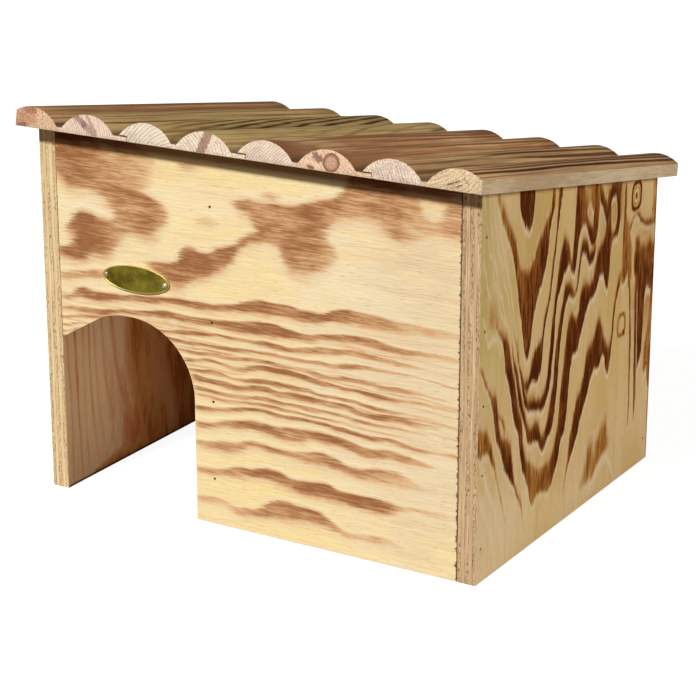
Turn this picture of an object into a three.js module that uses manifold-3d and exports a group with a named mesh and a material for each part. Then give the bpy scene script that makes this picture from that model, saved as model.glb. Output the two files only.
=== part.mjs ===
// A wooden hedgehog house: a plywood box without a floor, with an arched entrance at the left end
// of its front wall and a partition behind it that makes a small labyrinth. The roof of four
// shiplapped, double-crowned boards slopes down to the back and lifts off.
// Millimetres. +X is to the right seen from the front, +Y goes to the back, +Z is up.
// The origin is on the ground, under the middle of the roof's outline.
import * as THREE from "three";
import { mergeVertices } from "three/addons/utils/BufferGeometryUtils.js";
import Module from "manifold-3d";

const wasm = await Module();
wasm.setup();

// The plywood box
const houseWidth = 380;
const houseDepth = 298;
const frontHeight = 292;
const plyThickness = 15;
const rearPassage = 120;
const partitionHeadroom = 7;

// The entrance, from the left wall: a short flat, a ramp up, a level crown and a quarter circle
const entranceHeight = 153.5;
const entranceFlat = 2.5;
const entranceRampDrop = 25.5;
const entranceRampBlend = 12;
const entranceCrown = 19.8;
const entranceRadius = 57;
const partitionSetback = 9.5;

// The roof
const frontOverhang = 18;
const rearOverhang = 20;
const sideOverhang = 8;
const crownHeight = 16;
const webThickness = 3.7;
const valleyFlat = 4.4;
const lapLength = 8;
const leftCrestInset = 15;
const rightCrestInset = 18;
const battenThickness = 18;
const battenWidth = 30;
const battenClearance = 3;

// The name plate
const plateLength = 62;
const plateHeight = 21.5;
const plateThickness = 0.9;
const plateRise = 31;
const plateOffset = 6;
const plateTilt = THREE.MathUtils.degToRad(-0.8);
const pinInset = 4;

// Fasteners
const nailHeadDiameter = 1.6;
const nailHeadThickness = 0.6;
const nailDiameter = 1.2;
const nailLength = 35;
const nailPoint = 2.5;
const nailSink = 0.4;
const screwHeadDiameter = 7;
const screwHeadHeight = 2.6;
const screwDiameter = 3.5;
const screwBite = 11;
const screwPoint = 4;
const pinHeadDiameter = 4.4;
const pinHeadHeight = 1.3;
const pinDiameter = 1.4;
const pinLength = 11;
const pinPoint = 2;

// Clearances: fitGap lies between touching pieces, and cuts run past a face by overrun
const fitGap = 0.3;
const overrun = 1;
const weldDistance = 0.0001;

// Angles, counts and shares
const roofSlope = THREE.MathUtils.degToRad(10.3);
const entranceRampSlope = THREE.MathUtils.degToRad(30);
const boardCount = 4;
const crownsPerBoard = 2;
const arcSteps = 14;
const fastenerSides = 8;
const pinSides = 12;
const plateSteps = 40;
const frontNailHeightShares = [0.09, 0.285, 0.465, 0.655, 0.89];
const entranceSideNailHeightShares = [0.15, 0.5, 0.86];
const rearNailHeightShares = [0.08, 0.35, 0.62, 0.89];
const partitionNailHeightShares = [0.14, 0.375, 0.612, 0.95];

// Worked out from the sizes above; x counts from the house's middle, y from the front face
const innerHalfWidth = houseWidth / 2 - plyThickness;
const endWallHalfWidth = innerHalfWidth - fitGap;
const rearFace = houseDepth;
const rearInnerFace = houseDepth - plyThickness;
const slopeLength = houseDepth / Math.cos(roofSlope);
const roofFrontEnd = -frontOverhang;
const roofRearEnd = slopeLength + rearOverhang;
const roofHalfWidth = houseWidth / 2 + sideOverhang;
const crownCount = boardCount * crownsPerBoard;
const crownPitch =
  (2 * roofHalfWidth - leftCrestInset - rightCrestInset) / (crownCount - 1);
const firstCrest = leftCrestInset - roofHalfWidth;
const crownHalfWidth = (crownPitch - valleyFlat) / 2;
const crownRise = crownHeight - webThickness;
const crownRadius =
  (crownHalfWidth * crownHalfWidth + crownRise * crownRise) / (2 * crownRise);
const crownCentreHeight = crownHeight - crownRadius;
const roofBase = fitGap;
const entranceFootHeight = entranceHeight - entranceRampDrop;
const entranceControl =
  -innerHalfWidth + entranceFlat + entranceRampDrop / Math.tan(entranceRampSlope);
const entranceCrownEnd = entranceControl + entranceCrown;
const entranceRight = entranceCrownEnd + entranceRadius;
const partitionLeft = entranceRight + partitionSetback;
const partitionMiddle = partitionLeft + plyThickness / 2;
const partitionFront = plyThickness + fitGap;
const partitionRear = rearInnerFace - rearPassage;
const partitionDrop =
  (battenThickness + partitionHeadroom) / Math.cos(roofSlope);
const outlineFront =
  roofFrontEnd * Math.cos(roofSlope) + roofBase * Math.sin(roofSlope);
const outlineRear =
  roofRearEnd * Math.cos(roofSlope) +
  (roofBase + crownHeight) * Math.sin(roofSlope);

// Height of the wall tops at a depth y
const wallTop = (y) => frontHeight - y * Math.tan(roofSlope);

const plywood = { color: 0xe3bf8a, roughness: 0.6, metalness: 0, flatShading: true };
const softwood = { color: 0xa98457, roughness: 0.65, metalness: 0, flatShading: true };
const battenWood = { color: 0xd8b98c, roughness: 0.75, metalness: 0, flatShading: true };
const brass = { color: 0x8a7a2a, roughness: 0.35, metalness: 1 };
const steel = { color: 0x77736c, roughness: 0.45, metalness: 1 };

// A mesh with its name and finish
function piece(name, geometry, finish) {
  const mesh = new THREE.Mesh(geometry, new THREE.MeshStandardMaterial(finish));
  mesh.name = name;
  return mesh;
}

// A closed geometry as a solid that can be joined and cut
function solidOf(geometry) {
  const bare = geometry.clone();
  bare.deleteAttribute("normal");
  bare.deleteAttribute("uv");
  const merged = mergeVertices(bare, weldDistance);
  return new wasm.Manifold(
    new wasm.Mesh({
      numProp: 3,
      vertProperties: merged.attributes.position.array,
      triVerts: new Uint32Array(merged.index.array),
    }),
  );
}

function geometryOf(solid) {
  const mesh = solid.getMesh();
  const geometry = new THREE.BufferGeometry();
  geometry.setAttribute("position", new THREE.BufferAttribute(mesh.vertProperties, 3));
  geometry.setIndex(new THREE.BufferAttribute(mesh.triVerts, 1));
  geometry.computeVertexNormals();
  return geometry;
}

function cut(geometry, cutters) {
  let solid = solidOf(geometry);
  for (const cutter of cutters) {
    solid = solid.subtract(solidOf(cutter));
  }
  return geometryOf(solid);
}

function shapeOf(points) {
  return new THREE.Shape(points.map(([across, up]) => new THREE.Vector2(across, up)));
}

// A shape drawn in Y and Z, carried along X between two places
function alongX(shape, from, to) {
  const geometry = new THREE.ExtrudeGeometry(shape, { depth: to - from, bevelEnabled: false });
  return geometry.rotateX(Math.PI / 2).rotateZ(Math.PI / 2).translate(from, 0, 0);
}

// A shape drawn in X and Z, carried along Y between two places
function alongY(shape, from, to) {
  const settings = { depth: to - from, bevelEnabled: false, curveSegments: arcSteps };
  return new THREE.ExtrudeGeometry(shape, settings).rotateX(Math.PI / 2).translate(0, to, 0);
}

// A panel that stands between two depths, its top cut to the roof's slope less a drop
function slopedPanel(left, right, front, rear, drop) {
  const outline = shapeOf([
    [front, 0],
    [rear, 0],
    [rear, wallTop(rear) - drop],
    [front, wallTop(front) - drop],
  ]);
  return alongX(outline, left, right);
}

// A round body about +Y from points of radius and distance
function turned(points, sides) {
  const profile = points.map(([radius, along]) => new THREE.Vector2(radius, along));
  return new THREE.LatheGeometry(profile, sides);
}

// A flat-headed nail, its head nailSink under the surface at y = 0, driven along +Y
function nailGeometry() {
  const headEnd = nailSink + nailHeadThickness;
  return turned(
    [
      [0, nailSink],
      [nailHeadDiameter / 2, nailSink],
      [nailHeadDiameter / 2, headEnd],
      [nailDiameter / 2, headEnd],
      [nailDiameter / 2, nailLength - nailPoint],
      [0, nailLength],
    ],
    fastenerSides,
  );
}

// The room that a nail takes in the wood round it
function nailHole() {
  const headEnd = nailSink + nailHeadThickness + fitGap;
  return turned(
    [
      [0, -overrun],
      [nailHeadDiameter / 2 + fitGap, -overrun],
      [nailHeadDiameter / 2 + fitGap, headEnd],
      [nailDiameter / 2 + fitGap, headEnd],
      [nailDiameter / 2 + fitGap, nailLength - nailPoint],
      [0, nailLength + nailPoint],
    ],
    fastenerSides,
  );
}

// A countersunk screw, its head flush at y = 0, driven along +Y
function screwGeometry() {
  const length = battenThickness + screwBite;
  return turned(
    [
      [0, 0],
      [screwHeadDiameter / 2, 0],
      [screwDiameter / 2, screwHeadHeight],
      [screwDiameter / 2, length - screwPoint],
      [0, length],
    ],
    fastenerSides,
  );
}

// The room that a screw takes in its batten and board
function screwHole() {
  const length = battenThickness + screwBite;
  const headReach = screwHeadHeight + fitGap;
  return turned(
    [
      [0, -overrun],
      [screwHeadDiameter / 2 + fitGap, -overrun],
      [screwHeadDiameter / 2 + fitGap, fitGap],
      [screwDiameter / 2 + fitGap, headReach],
      [screwDiameter / 2 + fitGap, length - screwPoint + fitGap],
      [0, length + 2 * fitGap],
    ],
    fastenerSides,
  );
}

// A round-headed pin driven along +Y, its head seated on the surface at y = 0
function pinGeometry() {
  const half = pinHeadDiameter / 2;
  return turned(
    [
      [0, -pinHeadHeight],
      [half * Math.sin(Math.PI / 6), -pinHeadHeight * Math.cos(Math.PI / 6)],
      [half * Math.sin(Math.PI / 3), -pinHeadHeight * Math.cos(Math.PI / 3)],
      [half, 0],
      [pinDiameter / 2, 0],
      [pinDiameter / 2, pinLength - pinPoint],
      [0, pinLength],
    ],
    pinSides,
  );
}

// The room that a pin's shank takes in the plate and wall
function pinHole() {
  return turned(
    [
      [0, -overrun],
      [pinDiameter / 2 + fitGap, -overrun],
      [pinDiameter / 2 + fitGap, pinLength - pinPoint],
      [0, pinLength + pinPoint],
    ],
    pinSides,
  );
}

// Copies of a geometry at each of a list of places, for cutting
function atPlaces(geometry, places) {
  return places.map(({ position, rotation }) => {
    const turn = new THREE.Quaternion().setFromEuler(rotation);
    const matrix = new THREE.Matrix4().compose(position, turn, new THREE.Vector3(1, 1, 1));
    return geometry.clone().applyMatrix4(matrix);
  });
}

// One named mesh at each of a list of places
function meshesAt(name, geometry, finish, places) {
  return places.map(({ position, rotation }, index) => {
    const mesh = piece(`${name}_${index + 1}`, geometry, finish);
    mesh.position.copy(position);
    mesh.rotation.copy(rotation);
    return mesh;
  });
}

// Nails through a side wall into the end of the front or back wall, from a height up
function sideNailPlaces(side, y, bottom, heightShares) {
  return heightShares.map((share) => ({
    position: new THREE.Vector3(
      (side * houseWidth) / 2,
      y,
      bottom + share * (wallTop(y) - bottom),
    ),
    rotation: new THREE.Euler(0, 0, (side * Math.PI) / 2),
  }));
}

const frontNailDepth = plyThickness / 2;
const rearNailDepth = rearFace - plyThickness / 2;
const sideNails = {
  left_front_nail: sideNailPlaces(
    -1,
    frontNailDepth,
    entranceFootHeight,
    entranceSideNailHeightShares,
  ),
  right_front_nail: sideNailPlaces(1, frontNailDepth, 0, frontNailHeightShares),
  left_rear_nail: sideNailPlaces(-1, rearNailDepth, 0, rearNailHeightShares),
  right_rear_nail: sideNailPlaces(1, rearNailDepth, 0, rearNailHeightShares),
};

// Nails through the front wall into the front end of the partition
const partitionTopFront = wallTop(partitionFront) - partitionDrop;
const partitionNails = partitionNailHeightShares.map((share) => ({
  position: new THREE.Vector3(partitionMiddle, 0, share * partitionTopFront),
  rotation: new THREE.Euler(0, 0, 0),
}));

// The plate's middle and its two pins
const plateMiddle = new THREE.Vector3(
  entranceCrownEnd + plateOffset,
  -fitGap - plateThickness,
  entranceHeight + plateRise,
);
const pinReach = plateLength / 2 - pinInset;
function pinPlace(side) {
  return {
    position: new THREE.Vector3(
      plateMiddle.x + side * pinReach * Math.cos(plateTilt),
      plateMiddle.y - fitGap,
      plateMiddle.z + side * pinReach * Math.sin(plateTilt),
    ),
    rotation: new THREE.Euler(0, 0, 0),
  };
}
const pinPlaces = [pinPlace(-1), pinPlace(1)];

// The entrance's outline, closed below the ground and past the wall's left end
function entranceShape() {
  const blendX = entranceControl - entranceRampBlend * Math.cos(entranceRampSlope);
  const blendZ = entranceHeight - entranceRampBlend * Math.sin(entranceRampSlope);
  const shape = new THREE.Shape();
  shape.moveTo(-innerHalfWidth - overrun, -overrun);
  shape.lineTo(entranceRight, -overrun);
  shape.lineTo(entranceRight, entranceHeight - entranceRadius);
  shape.absarc(
    entranceCrownEnd,
    entranceHeight - entranceRadius,
    entranceRadius,
    0,
    Math.PI / 2,
    false,
  );
  shape.quadraticCurveTo(entranceControl, entranceHeight, blendX, blendZ);
  shape.lineTo(-innerHalfWidth + entranceFlat, entranceFootHeight);
  shape.lineTo(-innerHalfWidth - overrun, entranceFootHeight);
  return shape;
}

function frontWall() {
  const panel = slopedPanel(-endWallHalfWidth, endWallHalfWidth, 0, plyThickness, 0);
  const entrance = alongY(entranceShape(), -overrun, plyThickness + overrun);
  const nails = [
    ...sideNails.left_front_nail,
    ...sideNails.right_front_nail,
    ...partitionNails,
  ];
  const holes = [...atPlaces(nailHole(), nails), ...atPlaces(pinHole(), pinPlaces)];
  return piece("front_wall", cut(panel, [entrance, ...holes]), plywood);
}

function backWall() {
  const panel = slopedPanel(-endWallHalfWidth, endWallHalfWidth, rearInnerFace, rearFace, 0);
  const nails = [...sideNails.left_rear_nail, ...sideNails.right_rear_nail];
  return piece("back_wall", cut(panel, atPlaces(nailHole(), nails)), plywood);
}

function sideWall(name, side, nails) {
  const outer = (side * houseWidth) / 2;
  const inner = side * innerHalfWidth;
  const panel = slopedPanel(Math.min(outer, inner), Math.max(outer, inner), 0, rearFace, 0);
  return piece(name, cut(panel, atPlaces(nailHole(), nails)), plywood);
}

function partitionWall() {
  const panel = slopedPanel(
    partitionLeft,
    partitionLeft + plyThickness,
    partitionFront,
    partitionRear,
    partitionDrop,
  );
  return piece("partition_wall", cut(panel, atPlaces(nailHole(), partitionNails)), plywood);
}

function namePlate() {
  const oval = new THREE.Shape();
  oval.absellipse(0, 0, plateLength / 2, plateHeight / 2, 0, 2 * Math.PI, false, 0);
  for (const side of [-1, 1]) {
    const hole = new THREE.Path();
    hole.absarc(side * pinReach, 0, pinDiameter / 2 + fitGap, 0, 2 * Math.PI, true);
    oval.holes.push(hole);
  }
  const settings = { depth: plateThickness, bevelEnabled: false, curveSegments: plateSteps };
  const geometry = new THREE.ExtrudeGeometry(oval, settings);
  geometry.rotateX(Math.PI / 2).translate(0, plateThickness, 0);
  const mesh = piece("name_plate", geometry, brass);
  mesh.position.copy(plateMiddle);
  mesh.rotation.y = -plateTilt;
  return mesh;
}

function platePins() {
  return pinPlaces.map(({ position }, index) => {
    const mesh = piece(index ? "plate_pin_right" : "plate_pin_left", pinGeometry(), brass);
    mesh.position.copy(position);
    return mesh;
  });
}

// Outline of one roof board in x and height. Its left side is a lip over the board before,
// and its right side a thin tongue under the board after; the outer boards end square.
function boardShape(index) {
  const isFirst = index === 0;
  const isLast = index === boardCount - 1;
  const crests = Array.from(
    { length: crownsPerBoard },
    (_, crown) => firstCrest + (index * crownsPerBoard + crown) * crownPitch,
  );
  const leftValleyEnd = crests[0] - crownHalfWidth;
  const rightValleyStart = crests[crownsPerBoard - 1] + crownHalfWidth;
  const lipHeight = webThickness + fitGap;
  const stepX = leftValleyEnd + lapLength + fitGap;
  const tongueEnd = rightValleyStart + valleyFlat + lapLength;
  const leftEdge = isFirst ? -roofHalfWidth : stepX;
  const rightEdge = isLast ? roofHalfWidth : tongueEnd;
  const shape = new THREE.Shape();
  shape.moveTo(leftEdge, 0);
  shape.lineTo(rightEdge, 0);
  if (!isLast) {
    shape.lineTo(tongueEnd, webThickness);
  }
  for (let crown = crownsPerBoard - 1; crown >= 0; crown -= 1) {
    const trimsRight = isLast && crown === crownsPerBoard - 1;
    const trimsLeft = isFirst && crown === 0;
    const underLip = !isFirst && crown === 0;
    const rightReach = trimsRight ? rightCrestInset : crownHalfWidth;
    const lipReach = Math.sqrt(crownRadius ** 2 - (lipHeight - crownCentreHeight) ** 2);
    const leftReach = trimsLeft ? leftCrestInset : underLip ? lipReach : crownHalfWidth;
    shape.absarc(
      crests[crown],
      crownCentreHeight,
      crownRadius,
      Math.acos(rightReach / crownRadius),
      Math.PI - Math.acos(leftReach / crownRadius),
      false,
    );
  }
  if (!isFirst) {
    shape.lineTo(stepX, lipHeight);
  }
  return shape;
}

function battenBox(front) {
  const halfLength = innerHalfWidth - battenClearance;
  const outline = shapeOf([
    [front, -battenThickness],
    [front + battenWidth, -battenThickness],
    [front + battenWidth, 0],
    [front, 0],
  ]);
  return alongX(outline, -halfLength, halfLength);
}

// The battens clear the walls by battenClearance while the roof is lifted straight up
const frontBattenStart =
  (plyThickness + battenClearance + battenThickness * Math.sin(roofSlope)) /
  Math.cos(roofSlope);
const rearBattenStart =
  (rearInnerFace - battenClearance) / Math.cos(roofSlope) - battenWidth;

// Screws sit under the crests that lie over the battens, so all but the outermost two
function screwPlaces(battenStart) {
  return Array.from({ length: crownCount - 2 }, (_, index) => ({
    position: new THREE.Vector3(
      firstCrest + (index + 1) * crownPitch,
      battenStart + battenWidth / 2,
      -battenThickness - fitGap,
    ),
    rotation: new THREE.Euler(Math.PI / 2, 0, 0),
  }));
}

const frontScrews = screwPlaces(frontBattenStart);
const rearScrews = screwPlaces(rearBattenStart);

function roofBoards() {
  const screwsPerBatten = atPlaces(screwHole(), [...frontScrews, ...rearScrews]);
  return Array.from({ length: boardCount }, (_, index) => {
    const board = alongY(boardShape(index), roofFrontEnd, roofRearEnd);
    return piece(`roof_board_${index + 1}`, cut(board, screwsPerBatten), softwood);
  });
}

function battens() {
  const underBoards = (geometry) => geometry.translate(0, 0, -fitGap);
  return [
    piece(
      "front_batten",
      cut(underBoards(battenBox(frontBattenStart)), atPlaces(screwHole(), frontScrews)),
      battenWood,
    ),
    piece(
      "rear_batten",
      cut(underBoards(battenBox(rearBattenStart)), atPlaces(screwHole(), rearScrews)),
      battenWood,
    ),
  ];
}

// The roof in its own frame: x across, y down the slope, z square to it
function roof() {
  const group = new THREE.Group();
  group.add(...roofBoards(), ...battens());
  group.add(...meshesAt("roof_screw_front", screwGeometry(), steel, frontScrews));
  group.add(...meshesAt("roof_screw_rear", screwGeometry(), steel, rearScrews));
  group.rotation.x = -roofSlope;
  group.position.set(
    0,
    roofBase * Math.sin(roofSlope),
    frontHeight + roofBase * Math.cos(roofSlope),
  );
  return group;
}

function box() {
  const group = new THREE.Group();
  const leftNails = [...sideNails.left_front_nail, ...sideNails.left_rear_nail];
  const rightNails = [...sideNails.right_front_nail, ...sideNails.right_rear_nail];
  group.add(frontWall(), backWall(), partitionWall());
  group.add(sideWall("left_side_wall", -1, leftNails));
  group.add(sideWall("right_side_wall", 1, rightNails));
  group.add(namePlate(), ...platePins());
  group.add(...meshesAt("partition_nail", nailGeometry(), steel, partitionNails));
  for (const [name, places] of Object.entries(sideNails)) {
    group.add(...meshesAt(name, nailGeometry(), steel, places));
  }
  return group;
}

const house = new THREE.Group();
house.add(box(), roof());
house.position.y = -(outlineFront + outlineRear) / 2;

export default house;
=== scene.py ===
import math

import bmesh
import bpy
from mathutils import Matrix, Vector


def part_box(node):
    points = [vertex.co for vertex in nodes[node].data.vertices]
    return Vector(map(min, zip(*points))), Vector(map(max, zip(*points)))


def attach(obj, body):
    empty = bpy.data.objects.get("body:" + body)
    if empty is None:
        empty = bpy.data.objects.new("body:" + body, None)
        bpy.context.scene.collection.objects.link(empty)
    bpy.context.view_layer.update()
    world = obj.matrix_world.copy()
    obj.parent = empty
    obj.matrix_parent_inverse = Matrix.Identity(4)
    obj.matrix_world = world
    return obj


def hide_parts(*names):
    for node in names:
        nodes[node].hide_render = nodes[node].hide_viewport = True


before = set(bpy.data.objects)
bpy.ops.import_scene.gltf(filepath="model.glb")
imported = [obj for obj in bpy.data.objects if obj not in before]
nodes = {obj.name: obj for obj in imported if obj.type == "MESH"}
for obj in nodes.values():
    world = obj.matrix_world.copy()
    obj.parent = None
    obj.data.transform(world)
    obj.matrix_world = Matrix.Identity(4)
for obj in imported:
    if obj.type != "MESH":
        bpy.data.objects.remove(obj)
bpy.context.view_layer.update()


# The plywood walls: five panels of 15 mm softwood plywood, nailed together at their edges. Their
# faces are peeled veneers, flamed so that the late wood of each growth ring is burnt brown on a
# cream ground.

MM = 0.001


class Bench:
    """Lays shader nodes into one tree, each joined to what feeds it."""

    def __init__(self, tree):
        self.tree = tree

    def feed(self, socket, value):
        if isinstance(value, bpy.types.NodeSocket):
            self.tree.links.new(value, socket)
        else:
            socket.default_value = value

    def node(self, kind, feeds=None, **settings):
        made = self.tree.nodes.new("ShaderNode" + kind)
        for name, value in settings.items():
            setattr(made, name, value)
        for socket, value in (feeds or {}).items():
            self.feed(made.inputs[socket], value)
        return made

    def math(self, operation, *values, clamp=False):
        feeds = dict(enumerate(values))
        return self.node("Math", feeds, operation=operation, use_clamp=clamp).outputs[0]

    def plus(self, first, second):
        return self.math("ADD", first, second)

    def minus(self, first, second):
        return self.math("SUBTRACT", first, second)

    def times(self, first, second):
        return self.math("MULTIPLY", first, second)

    def over(self, first, second):
        return self.math("DIVIDE", first, second)

    def larger(self, first, second):
        return self.math("MAXIMUM", first, second)

    def smaller(self, first, second):
        return self.math("MINIMUM", first, second)

    def vector(self, operation, *values):
        feeds = dict(enumerate(values))
        return self.node("VectorMath", feeds, operation=operation).outputs[0]

    def measure(self, operation, *values):
        """A single value worked out from vectors, such as a length."""
        feeds = dict(enumerate(values))
        return self.node("VectorMath", feeds, operation=operation).outputs["Value"]

    def pack(self, x, y, z):
        return self.node("CombineXYZ", {0: x, 1: y, 2: z}).outputs[0]

    def unpack(self, vector):
        return self.node("SeparateXYZ", {0: vector}).outputs[:3]

    def rise(self, value, low, high, bottom=0.0, top=1.0):
        feeds = {"Value": value, "From Min": low, "From Max": high, "To Min": bottom, "To Max": top}
        return self.node("MapRange", feeds, interpolation_type="SMOOTHSTEP").outputs[0]

    def noise(self, vector, scale=1.0, detail=2.0, roughness=0.5):
        feeds = {"Vector": vector, "Scale": scale, "Detail": detail, "Roughness": roughness}
        return self.node("TexNoise", feeds).outputs[0]

    def drawn_noise(self, along, along_scale, across, across_scale, seed, detail, roughness=0.5):
        """Noise drawn out along the grain by a scale of its own for each way."""
        place = self.pack(self.times(along, along_scale), self.times(across, across_scale), seed)
        return self.noise(place, 1.0, detail, roughness)

    def blend(self, share, first, second, mode="MIX"):
        made = self.node("Mix", data_type="RGBA", blend_type=mode)
        self.feed(made.inputs[0], share)
        self.feed(made.inputs[6], first)
        self.feed(made.inputs[7], second)
        return made.outputs[2]

    def ramp(self, value, *stops, interpolation="LINEAR"):
        made = self.node("ValToRGB", {0: value})
        made.color_ramp.interpolation = interpolation
        marks = made.color_ramp.elements
        for index, (place, colour) in enumerate(stops):
            mark = marks[index] if index < 2 else marks.new(place)
            mark.position = place
            mark.color = colour
        return made.outputs[0]

    def use(self, group, feeds):
        made = self.tree.nodes.new("ShaderNodeGroup")
        made.node_tree = group
        for socket, value in feeds.items():
            self.feed(made.inputs[socket], value)
        return made.outputs


def rgb(red, green, blue):
    """A colour given in 0 to 255, as the shader needs it."""
    def line(value):
        value /= 255
        return value / 12.92 if value < 0.04045 else ((value + 0.055) / 1.055) ** 2.4

    return line(red), line(green), line(blue), 1.0


SOCKETS = {"value": "NodeSocketFloat", "vector": "NodeSocketVector", "colour": "NodeSocketColor"}


def effect(name, inputs, outputs):
    """A shared shader effect: its bench, its inputs' sockets and its outputs' sockets."""
    tree = bpy.data.node_groups.new(name, "ShaderNodeTree")
    for label, kind in inputs.items():
        tree.interface.new_socket(name=label, in_out="INPUT", socket_type=SOCKETS[kind])
    for label, kind in outputs.items():
        tree.interface.new_socket(name=label, in_out="OUTPUT", socket_type=SOCKETS[kind])
    entry = tree.nodes.new("NodeGroupInput")
    leave = tree.nodes.new("NodeGroupOutput")
    return Bench(tree), entry.outputs, leave.inputs


def fibres_effect():
    """Wood fibres along the place's X, with Y across them: fine streaks, slow clouds, torn teeth,
    burnt patches and short pores."""
    bench, given, made = effect(
        "wood fibres",
        {"Place": "vector", "Seed": "value"},
        {"Streak": "value", "Cloud": "value", "Teeth": "value", "Pore": "value", "Patch": "value"},
    )
    shift = bench.pack(given["Seed"], given["Seed"], given["Seed"])
    along, across, through = bench.unpack(given["Place"])

    def stretched(along_scale, across_scale, detail, roughness=0.55):
        place = bench.pack(
            bench.times(along, along_scale),
            bench.times(across, across_scale),
            bench.times(through, across_scale),
        )
        return bench.noise(bench.vector("ADD", place, shift), 1.0, detail, roughness)

    strands = stretched(60, 520, 4, 0.65)
    hairs = stretched(30, 1500, 3)
    bench.feed(made["Streak"], bench.rise(bench.plus(strands, bench.times(hairs, 0.5)), 0.5, 1.0))
    bench.feed(made["Cloud"], bench.rise(stretched(7, 16, 3), 0.35, 0.65))
    bench.feed(made["Patch"], bench.rise(stretched(26, 110, 4, 0.6), 0.25, 0.75))
    fine_teeth = bench.times(stretched(18, 3600, 2, 0.6), 1.7)
    broad_teeth = bench.times(stretched(14, 260, 3), 0.5)
    bench.feed(made["Teeth"], bench.minus(bench.plus(fine_teeth, broad_teeth), 1.1))
    bench.feed(made["Pore"], bench.rise(stretched(140, 760, 2), 0.62, 0.7))
    return bench.tree


def band_effect():
    """One burnt ring on the veneer, between a lower and an upper edge, added to those before it.
    Lean makes its lower edge softer than its upper one, and the two fades lighten the ring towards
    each edge. The glows toast the wood outside each edge, as far as so many times the softness.
    The paler wood just outside is its halo; a ring of negative depth is halo alone."""
    bench, given, made = effect(
        "burnt ring",
        {
            "Before": "value", "Halo before": "value", "Height": "value", "Ring": "vector",
            "Softness": "value", "Strength": "value", "Lean": "value", "Low fade": "value",
            "High fade": "value", "Low glow": "value", "High glow": "value",
        },
        {"Burn": "value", "Halo": "value"},
    )
    lower, upper, drawn_depth = bench.unpack(given["Ring"])
    depth = bench.times(drawn_depth, given["Strength"])
    soft, lean = given["Softness"], given["Lean"]
    below_soft = bench.times(soft, bench.plus(1.0, lean))
    above_soft = bench.times(soft, bench.minus(1.0, lean))
    over_lower = bench.minus(given["Height"], lower)
    under_upper = bench.minus(upper, given["Height"])
    rises = bench.rise(over_lower, bench.times(below_soft, -1.0), below_soft)
    falls = bench.rise(under_upper, bench.times(above_soft, -1.0), above_soft)
    share = bench.over(over_lower, bench.minus(upper, lower))
    low_light = bench.rise(share, 0.0, 0.55, given["Low fade"], 0.0)
    high_light = bench.rise(share, 0.3, 1.0, 0.0, given["High fade"])
    lightened = bench.plus(low_light, high_light)
    burn = bench.times(bench.times(rises, falls), depth)
    shaded = bench.times(burn, bench.minus(1.0, lightened))
    half_soft = bench.times(soft, 0.5)
    low_reach = bench.times(soft, bench.times(given["Low glow"], -1.0))
    high_reach = bench.times(soft, bench.times(given["High glow"], -1.0))
    low_glow = bench.rise(over_lower, low_reach, half_soft)
    high_glow = bench.rise(under_upper, high_reach, half_soft)
    toasted = bench.times(bench.times(bench.times(low_glow, high_glow), depth), 0.36)
    bench.feed(made["Burn"], bench.larger(bench.larger(shaded, toasted), given["Before"]))
    outside = bench.smaller(over_lower, under_upper)
    gone = bench.times(soft, -2.0)
    begun = bench.times(soft, -1.1)
    near = bench.times(bench.rise(outside, gone, begun), bench.math("ABSOLUTE", depth))
    bench.feed(made["Halo"], bench.larger(near, given["Halo before"]))
    return bench.tree


def peeled_effect():
    """The figure of a rotary-peeled veneer: contour lines of a slow swell drawn out along the grain."""
    bench, given, made = effect(
        "peeled figure",
        {"Place": "vector", "Seed": "value", "Rings": "value"},
        {"Burn": "value"},
    )
    along, across = bench.unpack(given["Place"])[:2]
    swell = bench.drawn_noise(along, 2.6, across, 7.0, given["Seed"], 2.0, 0.42)
    ring = bench.times(swell, given["Rings"])
    share = bench.math("FRACT", ring)
    late = bench.times(bench.rise(share, 0.25, 0.62), bench.rise(share, 0.7, 0.98, 1.0, 0.0))
    depth = bench.rise(bench.noise(bench.pack(ring, given["Seed"], 0.0), 0.7, 1.0), 0.35, 0.6)
    bench.feed(made["Burn"], bench.times(late, depth))
    return bench.tree


def flame_effect():
    """Colour, roughness and relief of flamed veneer from how deeply each place is burnt."""
    bench, given, made = effect(
        "flamed veneer",
        {
            "Burn": "value", "Streak": "value", "Cloud": "value", "Pore": "value", "Patch": "value",
            "Pale": "colour", "Straw": "colour", "Tan": "colour", "Brown": "colour", "Char": "colour",
        },
        {"Colour": "colour", "Roughness": "value", "Relief": "value"},
    )
    streak, burn = given["Streak"], given["Burn"]
    ground = bench.blend(bench.times(given["Cloud"], 0.4), given["Pale"], given["Straw"])
    fibre = bench.minus(streak, 0.5)
    patch = bench.minus(given["Patch"], 0.5)
    loose = bench.plus(bench.times(fibre, 0.5), bench.times(patch, 0.5))
    amid = bench.times(burn, bench.minus(1.5, burn))
    ragged = bench.math("ADD", burn, bench.times(loose, bench.times(amid, 1.5)), clamp=True)
    toasted = bench.blend(bench.rise(ragged, 0.0, 0.44), ground, given["Tan"])
    browned = bench.blend(bench.rise(ragged, 0.3, 0.72), toasted, given["Brown"])
    charred = bench.blend(bench.rise(ragged, 0.6, 1.05), browned, given["Char"])
    light = bench.ramp(streak, (0.0, (0.76, 0.7, 0.62, 1)), (1.0, (1.1, 1.1, 1.1, 1)))
    combed = bench.blend(bench.plus(0.12, bench.times(amid, 0.9)), charred, light, "MULTIPLY")
    pored = bench.blend(bench.times(given["Pore"], 0.3), combed, given["Brown"])
    bench.feed(made["Colour"], pored)
    dull = bench.plus(0.46, bench.times(streak, 0.16))
    bench.feed(made["Roughness"], bench.plus(dull, bench.times(ragged, 0.12)))
    ridge = bench.plus(bench.times(ragged, 0.5), bench.times(streak, 0.35))
    bench.feed(made["Relief"], bench.minus(ridge, bench.times(given["Pore"], 0.4)))
    return bench.tree


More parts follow.
